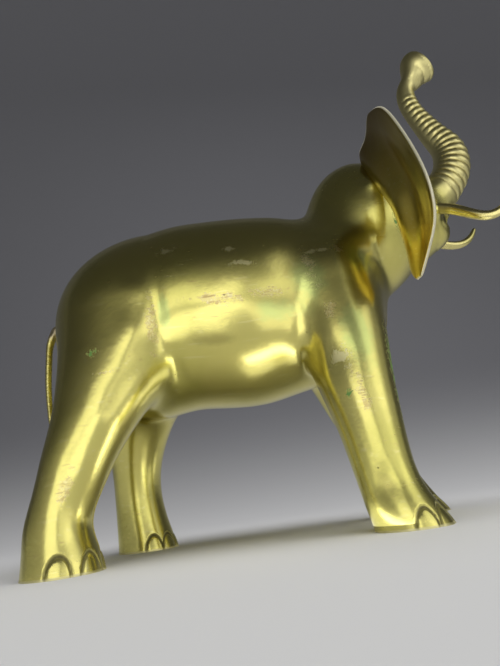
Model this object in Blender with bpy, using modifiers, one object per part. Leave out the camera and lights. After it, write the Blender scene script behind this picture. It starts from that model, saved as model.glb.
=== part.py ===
"""A cast brass elephant with its trunk raised, as a decorative sculpture.

Forward is +X, the elephant's left is +Y and up is +Z, in metres. The origin is on the floor under the
middle of the figure's box. The body with its legs, head and trunk is one casting. Two ears, two tusks
and a tail are separate castings, fitted to it.

The figure is laid out in modules, as a modeller's canon does: every place and girth is a number of
modules, and one module is a fixed share of the height.
"""

import math

import bmesh
import bpy
import numpy as np
from mathutils import Matrix
from mathutils.bvhtree import BVHTree

HEIGHT = 0.330  # floor to the top of the trunk
HEIGHT_IN_MODULES = 33.0
MODULE = HEIGHT / HEIGHT_IN_MODULES
BOX_MIDDLE = (2.0, -0.73)  # forward and side place of the figure's box, in modules

FIT_GAP = 0.0003  # clearance between castings that touch
EAR_THICKNESS = 0.0024
RING_COUNT = 20
RING_RELIEF = 0.0007
NAIL_WIDTH = 0.0130
NAIL_HEIGHT = 0.0085
NAIL_GROOVE = 0.0006
BODY_TRIANGLES = 7900
ROUGH_CELL = 0.0032  # cell of the rough skin before it settles on the modelled surface
BRASS = (0.60, 0.49, 0.17, 1.0)

# Rows are sections: forward, side and up of the middle, then half depth and half width, in modules.
# A barrel's half depth is its half height.
TORSO = (
    (-5.8, 0.0, 14.1, 6.15, 6.00),
    (-4.0, 0.0, 14.35, 6.15, 6.25),
    (-2.4, 0.0, 14.3, 6.20, 6.40),
    (0.5, 0.0, 14.2, 6.20, 6.35),
    (3.0, 0.0, 14.2, 5.75, 5.70),
    (5.0, 0.0, 13.8, 5.00, 4.80),
)
HIND_RIGHT = (
    (-10.63, -5.00, -1.0, 2.06, 1.95),
    (-10.63, -5.00, 0.0, 2.00, 1.90),
    (-10.70, -5.00, 0.9, 1.86, 1.80),
    (-10.85, -4.98, 2.2, 1.66, 1.65),
    (-10.45, -4.90, 3.7, 1.72, 1.68),
    (-9.72, -4.70, 5.7, 2.04, 1.90),
    (-8.75, -4.25, 8.0, 2.62, 2.30),
    (-8.00, -3.60, 10.7, 3.28, 2.80),
    (-7.75, -2.90, 13.2, 3.35, 3.10),
)
HIND_LEFT = (
    (-8.75, 5.00, -1.0, 2.15, 2.05),
    (-8.80, 5.00, 0.0, 2.00, 1.95),
    (-8.95, 5.00, 0.9, 1.86, 1.82),
    (-9.20, 4.98, 2.5, 1.66, 1.65),
    (-9.30, 4.90, 3.9, 1.60, 1.65),
    (-9.20, 4.70, 6.0, 1.80, 1.90),
    (-8.80, 4.25, 8.2, 2.40, 2.30),
    (-8.20, 3.60, 10.7, 3.20, 2.80),
    (-7.80, 2.90, 13.2, 3.40, 3.10),
)
FORE_RIGHT = (
    (6.75, -5.00, -1.0, 2.05, 1.90),
    (6.68, -5.00, 0.0, 1.91, 1.85),
    (6.35, -5.00, 0.9, 1.75, 1.72),
    (6.00, -4.92, 2.0, 1.58, 1.58),
    (5.75, -4.82, 3.6, 1.58, 1.58),
    (5.60, -4.65, 5.4, 1.75, 1.75),
    (5.40, -4.25, 7.7, 2.10, 2.10),
    (5.30, -3.60, 10.5, 2.55, 2.60),
    (5.20, -2.90, 13.2, 2.90, 3.00),
)
FORE_LEFT = (
    (9.90, 4.80, -1.0, 2.05, 1.90),
    (9.80, 4.80, 0.0, 1.93, 1.85),
    (9.40, 4.80, 0.9, 1.75, 1.72),
    (8.90, 4.75, 2.0, 1.58, 1.58),
    (8.10, 4.65, 3.6, 1.60, 1.58),
    (7.40, 4.50, 5.4, 1.75, 1.75),
    (6.60, 4.15, 7.7, 2.05, 2.10),
    (5.90, 3.60, 10.5, 2.55, 2.60),
    (5.40, 2.90, 13.2, 2.90, 3.00),
)
NECK = (
    (3.6, 0.0, 15.3, 4.3, 4.6),
    (6.2, 0.0, 16.6, 3.9, 4.1),
    (9.0, 0.0, 18.1, 3.5, 3.9),
)
SKULL = (
    (8.7, 0.0, 19.4, 4.3, 4.1),
    (10.3, 0.0, 19.1, 4.0, 4.0),
    (11.6, 0.0, 19.1, 2.8, 3.0),
)
JAW = (
    (8.5, 0.0, 17.1, 3.2, 3.0),
    (11.4, 0.0, 17.5, 1.7, 2.0),
    (13.3, 0.0, 17.55, 0.75, 1.0),
)
TRUNK = (
    (12.0, 0.0, 19.0, 2.2, 2.3),
    (13.6, 0.0, 20.0, 1.60, 1.7),
    (14.8, 0.0, 21.0, 1.28, 1.35),
    (15.5, 0.0, 21.9, 1.24, 1.28),
    (15.85, 0.0, 23.0, 1.18, 1.20),
    (15.75, 0.0, 24.2, 1.04, 1.06),
    (15.35, 0.0, 25.1, 0.92, 0.94),
    (14.80, 0.0, 26.4, 0.78, 0.80),
    (14.34, 0.0, 27.7, 0.68, 0.72),
    (14.12, 0.0, 29.2, 0.66, 0.69),
    (14.26, 0.0, 29.95, 0.63, 0.68),
    (14.58, 0.0, 30.45, 0.72, 0.74),
    (14.95, 0.0, 30.93, 0.94, 0.90),
    (15.27, 0.0, 31.52, 1.18, 1.06),
    (15.69, 0.0, 31.83, 1.43, 1.22),
)
TUSK_SOCKET = (
    (11.2, 1.7, 18.3, 1.25, 1.20),
    (13.0, 2.10, 18.2, 0.55, 0.55),
)
MOUTH_MIDDLE = (13.9, 0.0, 18.1)
MOUTH_SIZE = (1.7, 1.25, 0.42)  # half length, half width and half height of the hollow under the trunk
TUSK_RIGHT = (
    (13.40, -2.20, 18.3, 0.34, 0.34),
    (14.25, -2.60, 17.75, 0.33, 0.33),
    (15.10, -3.10, 16.9, 0.31, 0.31),
    (15.95, -3.40, 16.5, 0.28, 0.28),
    (16.80, -3.65, 16.85, 0.24, 0.24),
    (17.55, -3.90, 17.9, 0.14, 0.14),
)
TUSK_LEFT = (
    (13.6, 2.28, 18.15, 0.34, 0.34),
    (14.3, 2.45, 17.95, 0.32, 0.32),
    (15.1, 2.75, 17.82, 0.30, 0.30),
    (16.0, 3.10, 17.95, 0.27, 0.27),
    (16.8, 3.40, 18.5, 0.21, 0.21),
    (17.3, 3.60, 19.2, 0.12, 0.12),
)
TAIL = (
    (-12.40, 0.0, 14.8, 0.30, 0.36),
    (-13.00, 0.0, 14.7, 0.27, 0.33),
    (-13.40, 0.0, 14.1, 0.23, 0.30),
    (-13.55, 0.0, 12.9, 0.20, 0.27),
    (-13.58, 0.0, 11.2, 0.19, 0.25),
    (-13.50, 0.0, 9.7, 0.17, 0.22),
    (-13.35, 0.0, 8.3, 0.14, 0.18),
    (-13.20, 0.0, 7.3, 0.08, 0.10),
)

# The ear's edges in its own plane: outward from the head and up, in modules, from the top down.
EAR_ROOT = (9.95, 4.0, 18.7)  # forward, side and up of the plane's origin
EAR_SPLAY = math.radians(6.0)  # how far the plane opens forward of straight out
EAR_LEAN = {"right": math.radians(8.0), "left": math.radians(-7.0)}  # how far its top leans back
EAR_INNER = (
    (-1.0, 3.7),
    (-0.5, 2.0),
    (0.2, 0.4),
    (0.8, -1.4),
    (0.6, -2.6),
    (0.2, -3.9),
    (-0.4, -5.0),
    (-0.1, -5.7),
)
EAR_OUTER = (
    (2.9, 4.15),
    (4.75, 2.9),
    (5.6, 1.0),
    (6.0, -1.0),
    (6.0, -2.9),
    (5.3, -4.3),
    (3.7, -5.05),
    (0.6, -5.75),
)
EAR_ACROSS = 10
EAR_DOWN = 15

TRUNK_RINGS = (2.9, 14.2)  # from the face to just under the tip, along the trunk's middle line, in modules
# Where the toenails stand round each foot, in degrees from straight ahead.
NAILS = {
    "hind right": (-98, -42, 8, 56),
    "hind left": (-83, -40, 2, 50),
    "fore right": (-71, -31, 8, 50),
    "fore left": (-52, -10, 31, 71),
}

NECK_PIVOT = (5.5, 0.0)  # the head turns about this upright axis, in modules
HEAD_TURN = math.radians(8.0)  # towards the elephant's right
HEAD_PARTS = ("neck", "skull", "jaw", "trunk", "tusk socket right", "tusk socket left")


def mirrored(rows):
    """The same limb on the other side."""
    return tuple((forward, -side, up, depth, width) for forward, side, up, depth, width in rows)


# Each limb's kind of section, its rows, the fillet to the limbs before it and the lengths of the domes
# that close its first and last ends, in modules.
LIMBS = {
    "torso": ("barrel", TORSO, 0.0, (6.8, 4.2)),
    "hind right": ("column", HIND_RIGHT, 2.2, (1.0, 3.2)),
    "hind left": ("column", HIND_LEFT, 2.2, (1.0, 3.2)),
    "fore right": ("column", FORE_RIGHT, 1.8, (1.0, 3.2)),
    "fore left": ("column", FORE_LEFT, 1.8, (1.0, 3.2)),
    "neck": ("barrel", NECK, 2.0, (3.0, 3.0)),
    "skull": ("barrel", SKULL, 1.2, (3.7, 2.4)),
    "jaw": ("barrel", JAW, 1.0, (2.0, 0.9)),
    "trunk": ("tube", TRUNK, 0.9, (0.0, 0.0)),
    "tusk socket right": ("tube", mirrored(TUSK_SOCKET), 0.8, (0.0, 0.0)),
    "tusk socket left": ("tube", TUSK_SOCKET, 0.8, (0.0, 0.0)),
}


def spline(knots, rows, places):
    """A natural cubic spline through the rows at the knots, read at the places."""
    rows = np.array(rows, float)
    gaps = np.diff(knots)
    number = len(rows)
    bend = np.eye(number)
    load = np.zeros_like(rows)
    for i in range(1, number - 1):
        bend[i, i - 1 : i + 2] = (gaps[i - 1], 2 * (gaps[i - 1] + gaps[i]), gaps[i])
        load[i] = 6 * ((rows[i + 1] - rows[i]) / gaps[i] - (rows[i] - rows[i - 1]) / gaps[i - 1])
    curvature = np.linalg.solve(bend, load)
    span = np.clip(np.searchsorted(knots, places, side="right") - 1, 0, number - 2)
    after = (places - knots[span])[:, None]
    gap = gaps[span][:, None]
    before = gap - after
    return (
        (curvature[span] * before**3 + curvature[span + 1] * after**3) / (6 * gap)
        + (rows[span] / gap - curvature[span] * gap / 6) * before
        + (rows[span + 1] / gap - curvature[span + 1] * gap / 6) * after
    )


def along(rows):
    """Distance along a limb's middle line at each of its rows."""
    rows = np.array(rows, float)
    return np.concatenate([[0.0], np.cumsum(np.linalg.norm(np.diff(rows[:, :3], axis=0), axis=1))])


def section_field(points, rows, axis, domes):
    """Field of sections square to an axis. Past its end rows the limb closes in two domes."""
    rows = np.array(rows, float)
    knots = rows[:, axis]
    place = np.clip(points[:, axis], knots[0], knots[-1])
    middle = spline(knots, rows, place)
    depth, width = middle[:, 3], middle[:, 4]
    across = points - middle[:, :3]
    past = points[:, axis] - place
    past = np.where(past < 0, past / domes[0], past / domes[1])
    lengthwise = 2 if axis == 0 else 0
    value = np.sqrt((across[:, lengthwise] / depth) ** 2 + (across[:, 1] / width) ** 2 + past**2)
    return (value - 1.0) * np.minimum(depth, width)


def tube_field(points, rows, ringed, pieces=40):
    """Field of a bent tube: distance to the nearest place of its middle line, set against its girth."""
    knots = along(rows)
    places = np.linspace(0.0, knots[-1], pieces)
    fine = spline(knots, rows, places)
    nearest = np.full(len(points), 1e3)
    reached = np.zeros(len(points))
    front = np.zeros(len(points))
    for start, end, place, length in zip(fine[:-1], fine[1:], places, np.diff(places)):
        step = end[:3] - start[:3]
        share = np.clip((points - start[:3]) @ step / (step @ step), 0.0, 1.0)
        offset = points - start[:3] - share[:, None] * step
        depth = start[3] + share * (end[3] - start[3])
        width = start[4] + share * (end[4] - start[4])
        flat = np.hypot(offset[:, 0], offset[:, 2])
        value = (np.hypot(flat / depth, offset[:, 1] / width) - 1.0) * depth
        better = value < nearest
        nearest[better] = value[better]
        reached[better] = (place + share * length)[better]
        facing = (offset[:, 0] * step[2] - offset[:, 2] * step[0]) / np.linalg.norm(step) / depth
        front[better] = facing[better]
    if ringed:
        nearest = nearest - ring_relief(reached, front)
        last_step = fine[-1, :3] - fine[-2, :3]
        end_out = (points - fine[-1, :3]) @ last_step / np.linalg.norm(last_step)
        nearest = -blend(-nearest, -(end_out - 0.15), 0.5)
    return nearest


def ring_relief(reached, front):
    """Height of the trunk's rings: round ridges between narrow grooves, fading out on the rear side."""
    first, last = TRUNK_RINGS
    share = (reached - first) / (last - first)
    ridge = np.abs(np.sin(np.pi * RING_COUNT * share)) ** 0.7 - 0.62
    fade = np.clip(share * 12.0, 0.0, 1.0) * np.clip((1.0 - share) * 12.0, 0.0, 1.0)
    return RING_RELIEF / MODULE * ridge * fade * np.clip((front + 0.75) * 2.5, 0.0, 1.0)


def nail_relief(points):
    """Height of the toenails: each is a low pad ringed by an arched groove that runs to the floor."""
    height = np.zeros(len(points))
    for foot, angles in NAILS.items():
        row = np.array(LIMBS[foot][1][1])
        across = points[:, :2] - row[:2]
        close = (points[:, 2] < 1.6) & (np.hypot(across[:, 0], across[:, 1]) < 3.2)
        angle = np.arctan2(across[close, 1] / row[4], across[close, 0] / row[3])
        for middle in angles:
            swing = np.remainder(angle - math.radians(middle) + math.pi, 2 * math.pi) - math.pi
            sideways = swing * 2.0 / (0.5 * NAIL_WIDTH / MODULE)
            arch = np.hypot(sideways, points[close, 2] / (NAIL_HEIGHT / MODULE))
            height[close] -= NAIL_GROOVE / MODULE * np.exp(-(((arch - 1.0) / 0.16) ** 2))
            height[close] += 0.03 * np.clip(1.0 - arch**2, 0.0, None)
    return height


def blend(first, second, radius):
    """Smooth union of two fields, with a fillet whose curvature is continuous."""
    if radius <= 0:
        return np.minimum(first, second)
    near = np.clip(1.0 - np.abs(first - second) / radius, 0.0, None)
    return np.minimum(first, second) - near**3 * radius / 6.0


def turned(points, angle):
    """Points turned about the neck's upright axis, in modules. A positive angle goes to the left."""
    x = points[:, 0] - NECK_PIVOT[0]
    y = points[:, 1] - NECK_PIVOT[1]
    turned_x = NECK_PIVOT[0] + x * math.cos(angle) - y * math.sin(angle)
    turned_y = NECK_PIVOT[1] + x * math.sin(angle) + y * math.cos(angle)
    return np.stack([turned_x, turned_y, points[:, 2]], axis=1)


def body_field(points):
    """The whole casting's field at points in modules: its limbs run into each other with fillets."""
    in_head = turned(points, HEAD_TURN)
    value = np.full(len(points), 1e3)
    for name, (kind, rows, fillet, domes) in LIMBS.items():
        here = in_head if name in HEAD_PARTS else points
        if kind == "tube":
            table = np.array(rows)
            reach = table[:, 3].max() + 1.0
            low = table[:, :3].min(axis=0) - reach
            high = table[:, :3].max(axis=0) + reach
            close = np.all((here > low) & (here < high), axis=1)
            limb = np.full(len(points), 1e3)
            limb[close] = tube_field(here[close], rows, name == "trunk")
        else:
            limb = section_field(here, rows, 0 if kind == "barrel" else 2, domes)
        value = blend(value, limb, fillet)
    hollow = np.linalg.norm((in_head - np.array(MOUTH_MIDDLE)) / np.array(MOUTH_SIZE), axis=1) - 1.0
    value = -blend(-value, hollow * MOUTH_SIZE[2], 0.3)
    return value - nail_relief(points)


def settle(points, steps=5):
    """Moves points in modules down or up the field's slope, in short steps, onto its zero surface."""
    small = 0.01
    for _ in range(steps):
        value = body_field(points)
        slope = np.stack([body_field(points + small * axis) - value for axis in np.eye(3)], axis=1) / small
        steep = np.clip((slope**2).sum(axis=1, keepdims=True), 0.05, None)
        move = -value[:, None] * slope / steep
        length = np.linalg.norm(move, axis=1, keepdims=True)
        points = points + move * np.minimum(1.0, 0.4 / np.maximum(length, 1e-9))
    return points


def rough_skin(cell):
    """Balls strung along each limb, fused into one skin of even cells by a voxel Remesh."""
    shape = bmesh.new()
    pivot = Matrix.Translation((*NECK_PIVOT, 0.0))
    for name, (_, rows, _, _) in LIMBS.items():
        turn = Matrix.Rotation(-HEAD_TURN if name in HEAD_PARTS else 0.0, 4, "Z")
        knots = along(rows)
        count = max(3, int(knots[-1] / 0.5))
        for forward, side, up, depth, width in spline(knots, rows, np.linspace(0, knots[-1], count)):
            place = pivot @ turn @ pivot.inverted() @ Matrix.Translation((forward, side, up))
            size = Matrix.Diagonal((min(depth, width), width, depth, 1.0)) @ Matrix.Scale(0.96, 4)
            bmesh.ops.create_icosphere(shape, subdivisions=3, radius=1.0, matrix=place @ size)
    mesh = bpy.data.meshes.new("rough skin")
    shape.to_mesh(mesh)
    shape.free()
    rough = bpy.data.objects.new("rough skin", mesh)
    bpy.context.scene.collection.objects.link(rough)
    remesh = rough.modifiers.new("fuse", "REMESH")
    remesh.mode = "VOXEL"
    remesh.voxel_size = cell / MODULE
    fused = bpy.data.meshes.new_from_object(rough.evaluated_get(bpy.context.evaluated_depsgraph_get()))
    bpy.data.objects.remove(rough)
    return fused


def placed(points):
    """Points in modules, as metres from the part's origin."""
    return (np.asarray(points, float) - np.array([*BOX_MIDDLE, 0.0])) * MODULE


def new_object(name, points, faces, collection):
    mesh = bpy.data.meshes.new(name)
    mesh.from_pydata(np.asarray(points).tolist(), [], faces)
    shape = bmesh.new()
    shape.from_mesh(mesh)
    bmesh.ops.recalc_face_normals(shape, faces=shape.faces)
    shape.to_mesh(mesh)
    shape.free()
    material = bpy.data.materials.new(name + " brass")
    material.use_nodes = True
    shader = material.node_tree.nodes["Principled BSDF"]
    shader.inputs["Base Color"].default_value = BRASS
    shader.inputs["Metallic"].default_value = 1.0
    shader.inputs["Roughness"].default_value = 0.35
    mesh.materials.append(material)
    obj = bpy.data.objects.new(name, mesh)
    collection.objects.link(obj)
    return obj


def body(collection):
    """The main casting: the settled skin, finer at trunk and feet, cut level at the soles, thinned out."""
    shape = bmesh.new()
    shape.from_mesh(rough_skin(ROUGH_CELL))
    settle_vertices(shape)
    for first_time in (True, False):
        in_head = turned(np.array([v.co for v in shape.verts]), HEAD_TURN)
        fine = (in_head[:, 2] > 16.4) & (in_head[:, 0] > 12.6)
        fine |= (in_head[:, 2] < 1.3) & first_time
        shape.verts.index_update()
        edges = [e for e in shape.edges if fine[e.verts[0].index] and fine[e.verts[1].index]]
        bmesh.ops.subdivide_edges(shape, edges=edges, cuts=1, use_grid_fill=True)
        bmesh.ops.triangulate(shape, faces=shape.faces)
    settle_vertices(shape)
    everything = list(shape.verts) + list(shape.edges) + list(shape.faces)
    bmesh.ops.bisect_plane(
        shape, geom=everything, dist=1e-5, plane_co=(0, 0, 0), plane_no=(0, 0, 1), clear_inner=True
    )
    bmesh.ops.holes_fill(shape, edges=[edge for edge in shape.edges if edge.is_boundary])
    bmesh.ops.triangulate(shape, faces=shape.faces)
    bmesh.ops.recalc_face_normals(shape, faces=shape.faces)
    points = placed([v.co for v in shape.verts])
    shape.verts.index_update()
    faces = [[v.index for v in face.verts] for face in shape.faces]
    shape.free()
    obj = new_object("body", points, faces, collection)
    thin = obj.modifiers.new("thin out", "DECIMATE")
    thin.ratio = BODY_TRIANGLES / len(faces)
    return obj


def settle_vertices(shape):
    shape.verts.ensure_lookup_table()
    for vertex, place in zip(shape.verts, settle(np.array([v.co for v in shape.verts]))):
        vertex.co = place


def clearance(point, tree):
    """Distance from the body's skin, below zero inside it."""
    nearest, normal, _, _ = tree.find_nearest(point)
    away = np.array(point) - np.array(nearest)
    return np.linalg.norm(away) * (1.0 if away @ np.array(normal) >= 0 else -1.0)


def fit_to_body(points, faces, outward, tree):
    """Slides points outward until they and the middles of their faces clear the body by the fit gap."""
    outward = outward / np.linalg.norm(outward)
    for _ in range(40):
        short = np.array([FIT_GAP - clearance(point, tree) for point in points])
        slide = np.clip(short, 0.0, None)
        for face in faces:
            missing = FIT_GAP - clearance(points[face].mean(axis=0), tree)
            if missing > 0:
                slide[face] = np.maximum(slide[face], missing)
        if slide.max() < 1e-6:
            break
        points = points + outward * slide[:, None]
    return points


def ear(side, tree, collection):
    """A thin fan between an inner and an outer edge, dished and folded, with a rounded rim."""
    down = np.linspace(0.0, 1.0, EAR_DOWN)
    rim = 0.35 * EAR_THICKNESS / MODULE  # how far the faces stop short of the rim
    inner = spline(np.linspace(0, 1, len(EAR_INNER)), EAR_INNER, down)
    outer = spline(np.linspace(0, 1, len(EAR_OUTER)), EAR_OUTER, down)
    across = np.linspace(0.0, 1.0, EAR_ACROSS)
    out_dir = np.array([math.sin(EAR_SPLAY), math.cos(EAR_SPLAY), 0.0])
    up_dir = np.array([-math.sin(EAR_LEAN[side]), 0.0, math.cos(EAR_LEAN[side])])
    normal = np.cross(out_dir, up_dir)
    grid = inner[:, None, :] * (1 - across)[None, :, None] + outer[:, None, :] * across[None, :, None]
    grid[..., 1] += 0.25 * np.sin(np.pi * across)[None, :] * (1.0 - down[:, None]) ** 4
    fold = 0.45 * np.exp(-(((across - 0.22) / 0.16) ** 2)) - 0.35 * np.sin(np.pi * across) ** 2
    dish = fold[None, :] * np.sin(np.pi * (0.15 + 0.8 * down))[:, None]
    middle = np.array(EAR_ROOT) + grid[..., :1] * out_dir + grid[..., 1:] * up_dir - dish[..., None] * normal
    half = 0.5 * EAR_THICKNESS / MODULE
    edge = np.ones((EAR_DOWN, EAR_ACROSS), bool)
    edge[1:-1, 1:-1] = False
    inset = (middle.mean(axis=(0, 1)) - middle)[edge]
    inset = inset / np.linalg.norm(inset, axis=1, keepdims=True) * rim
    layers = []
    for sign in (1.0, -1.0):
        layer = middle + sign * half * normal
        layer[edge] += inset
        layers.append(layer.reshape(-1, 3))
    points = np.concatenate(layers + [middle[edge]])
    count = EAR_DOWN * EAR_ACROSS
    number = np.arange(count).reshape(EAR_DOWN, EAR_ACROSS)
    faces = []
    for base, flip in ((0, False), (count, True)):
        corners = [number[:-1, :-1], number[:-1, 1:], number[1:, 1:], number[1:, :-1]]
        quads = np.stack([corner.ravel() + base for corner in corners], axis=1)
        faces += (quads[:, ::-1] if flip else quads).tolist()
    loop = np.concatenate([number[0, :-1], number[:-1, -1], number[-1, :0:-1], number[:0:-1, 0]])
    rim_number = {corner: 2 * count + i for i, corner in enumerate(number[edge])}
    for here, there in zip(loop, np.roll(loop, -1)):
        faces.append([here, rim_number[here], rim_number[there], there])
        faces.append([here + count, there + count, rim_number[there], rim_number[here]])
    return finish_fitting("ear_" + side, points, faces, out_dir, side, tree, collection)


def finish_fitting(name, points, faces, outward, side, tree, collection):
    """Turns a piece of the left side with the head, mirrors it if need be, and fits it to the body."""
    if side == "right":
        points = points * np.array([1.0, -1.0, 1.0])
        outward = outward * np.array([1.0, -1.0, 1.0])
    turn = np.array(Matrix.Rotation(-HEAD_TURN, 3, "Z"))
    points = placed(turned(points, -HEAD_TURN))
    faces = [[int(i) for i in face] for face in faces]
    points = fit_to_body(points, faces, turn @ outward, tree)
    return new_object(name, points, faces, collection)


def rod(name, rows, sides, rings, outward, in_head, tree, collection):
    """A bent rod of elliptical section with closed ends, its root fitted to the body."""
    knots = along(rows)
    fine = spline(knots, rows, np.linspace(0.0, knots[-1], rings))
    ahead = np.gradient(fine[:, :3], axis=0)
    ahead /= np.linalg.norm(ahead, axis=1, keepdims=True)
    across = np.cross(ahead, (0.0, 1.0, 0.0))
    across /= np.linalg.norm(across, axis=1, keepdims=True)
    aside = np.cross(across, ahead)
    angle = np.arange(sides) * 2 * np.pi / sides
    ring = (
        fine[:, None, :3]
        + across[:, None] * (np.cos(angle)[None, :, None] * fine[:, None, 3:4])
        + aside[:, None] * (np.sin(angle)[None, :, None] * fine[:, None, 4:5])
    )
    tip = fine[-1, :3] + ahead[-1] * fine[-1, 3] * 0.8
    points = np.concatenate([ring.reshape(-1, 3), [fine[0, :3], tip]])
    number = np.arange(rings * sides).reshape(rings, sides)
    beside = np.roll(number, -1, axis=1)
    quads = np.stack([number[:-1], beside[:-1], beside[1:], number[1:]], axis=-1).reshape(-1, 4)
    faces = quads.tolist()
    faces += [[rings * sides, b, a] for a, b in zip(number[0], beside[0])]
    faces += [[rings * sides + 1, a, b] for a, b in zip(number[-1], beside[-1])]
    if in_head:
        return finish_fitting(name, points, faces, outward, "left", tree, collection)
    faces = [[int(i) for i in face] for face in faces]
    points = fit_to_body(placed(points), faces, outward, tree)
    return new_object(name, points, faces, collection)


def main():
    for old in list(bpy.data.objects):
        bpy.data.objects.remove(old)
    figure = bpy.data.collections.new("elephant sculpture")
    bpy.context.scene.collection.children.link(figure)
    casting = body(figure)
    bpy.context.view_layer.update()
    tree = BVHTree.FromObject(casting, bpy.context.evaluated_depsgraph_get())
    ear("right", tree, figure)
    ear("left", tree, figure)
    rod("tusk_right", TUSK_RIGHT, 8, 9, np.array([0.9, -0.3, -0.2]), True, tree, figure)
    rod("tusk_left", TUSK_LEFT, 8, 9, np.array([0.9, 0.3, -0.2]), True, tree, figure)
    rod("tail", TAIL, 8, 12, np.array([-1.0, 0.0, 0.0]), False, tree, figure)


main()
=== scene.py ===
# %% [markdown]
# # A cast brass elephant with its trunk raised
#
# The real object is a hollow brass casting with six pieces: the body with its legs, head and trunk,
# two ears, two tusks and a tail. A finished CAD model already holds their true places and sizes.
# This lesson loads that model, carves the finer forms that a caster leaves in the metal, and paints
# the worn, tarnished brass with shader nodes.
#
# The CAD pieces stay where they are. Each new piece is made on the same spot and replaces its CAD node.

# %% Load the fixed frame
import math

import bmesh
import bpy
import numpy as np
from mathutils import Matrix, Vector


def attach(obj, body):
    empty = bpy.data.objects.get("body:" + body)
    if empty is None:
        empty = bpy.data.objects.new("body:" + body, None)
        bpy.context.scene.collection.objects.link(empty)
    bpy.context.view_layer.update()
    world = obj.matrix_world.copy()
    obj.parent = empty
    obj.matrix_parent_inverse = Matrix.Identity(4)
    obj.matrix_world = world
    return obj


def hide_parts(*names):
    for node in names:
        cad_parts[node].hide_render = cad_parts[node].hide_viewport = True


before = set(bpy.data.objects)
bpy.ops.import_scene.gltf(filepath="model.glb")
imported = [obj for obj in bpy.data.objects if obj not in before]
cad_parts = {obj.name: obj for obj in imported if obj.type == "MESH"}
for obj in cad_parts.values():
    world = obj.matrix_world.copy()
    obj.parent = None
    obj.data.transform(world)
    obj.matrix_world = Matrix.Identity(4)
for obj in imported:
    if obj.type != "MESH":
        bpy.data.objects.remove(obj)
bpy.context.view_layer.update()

print("CAD nodes:", sorted(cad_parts))

# %% [markdown]
# ## The camera
#
# The photograph was taken from very near, low and tilted, so its perspective is strong. A camera is
# a place and three directions: right, up and back. We start from a level camera that looks along +Y,
# pitch it up, and roll it. Writing the three directions into a matrix is the plainest way to do both
# turns, because nothing is left to the order of Euler angles.

# %% Place the camera
PITCH = math.radians(18.84)  # how far it looks up
ROLL = math.radians(7.8)  # how far the figure leans back in the picture
LONG_SIDE_PIXELS, FOCAL_PIXELS = 666, 490
CAMERA_PLACE = (-0.0200, -0.3027, 0.0220)  # in metres

level_right = np.array([1.0, 0.0, 0.0])
level_up = np.array([0.0, -math.sin(PITCH), math.cos(PITCH)])
forward = np.array([0.0, math.cos(PITCH), math.sin(PITCH)])
camera_right = math.cos(ROLL) * level_right - math.sin(ROLL) * level_up
camera_up = math.sin(ROLL) * level_right + math.cos(ROLL) * level_up

camera_data = bpy.data.cameras.new("camera")
camera_data.lens = FOCAL_PIXELS / LONG_SIDE_PIXELS * camera_data.sensor_width
camera_data.clip_start = 0.01
camera = bpy.data.objects.new("camera", camera_data)
bpy.context.scene.collection.objects.link(camera)
turn = np.eye(4)
turn[:3, :3] = np.stack([camera_right, camera_up, -forward], axis=1)
turn[:3, 3] = CAMERA_PLACE
camera.matrix_world = Matrix(turn.tolist())
bpy.context.scene.camera = camera
print("lens in mm:", round(camera_data.lens, 2))

# %% [markdown]
# ## Sections of the figure
#
# A modeller lays a figure out in modules, so every place and girth here is a number of modules and
# one module is 10 mm. Each limb is a row of sections: forward, side and up of the middle, then half
# depth and half width. They are the same sections that the CAD body was made from, so the new skin
# falls on the old one.

# %% Sections of the body and legs
MODULE = 0.01
BOX_MIDDLE = np.array([2.0, -0.73, 0.0])  # middle of the figure's box, in modules

TORSO = (
    (-5.8, 0.0, 14.1, 6.15, 6.00),
    (-4.0, 0.0, 14.35, 6.15, 6.25),
    (-2.4, 0.0, 14.3, 6.20, 6.40),
    (0.5, 0.0, 14.2, 6.20, 6.35),
    (3.0, 0.0, 14.2, 5.75, 5.70),
    (5.0, 0.0, 13.8, 5.00, 4.80),
)
HIND_RIGHT = (
    (-10.63, -5.00, -1.0, 2.06, 1.95),
    (-10.63, -5.00, 0.0, 2.00, 1.90),
    (-10.70, -5.00, 0.9, 1.86, 1.80),
    (-10.85, -4.98, 2.2, 1.66, 1.65),
    (-10.45, -4.90, 3.7, 1.72, 1.68),
    (-9.72, -4.70, 5.7, 2.04, 1.90),
    (-8.75, -4.25, 8.0, 2.62, 2.30),
    (-8.00, -3.60, 10.7, 3.28, 2.80),
    (-7.75, -2.90, 13.2, 3.35, 3.10),
)
HIND_LEFT = (
    (-8.75, 5.00, -1.0, 2.15, 2.05),
    (-8.80, 5.00, 0.0, 2.00, 1.95),
    (-8.95, 5.00, 0.9, 1.86, 1.82),
    (-9.20, 4.98, 2.5, 1.66, 1.65),
    (-9.30, 4.90, 3.9, 1.60, 1.65),
    (-9.20, 4.70, 6.0, 1.80, 1.90),
    (-8.80, 4.25, 8.2, 2.40, 2.30),
    (-8.20, 3.60, 10.7, 3.20, 2.80),
    (-7.80, 2.90, 13.2, 3.40, 3.10),
)
FORE_RIGHT = (
    (6.75, -5.00, -1.0, 2.05, 1.90),
    (6.68, -5.00, 0.0, 1.91, 1.85),
    (6.35, -5.00, 0.9, 1.75, 1.72),
    (6.00, -4.92, 2.0, 1.58, 1.58),
    (5.75, -4.82, 3.6, 1.58, 1.58),
    (5.60, -4.65, 5.4, 1.75, 1.75),
    (5.40, -4.25, 7.7, 2.10, 2.10),
    (5.30, -3.60, 10.5, 2.55, 2.60),
    (5.20, -2.90, 13.2, 2.90, 3.00),
)
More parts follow.
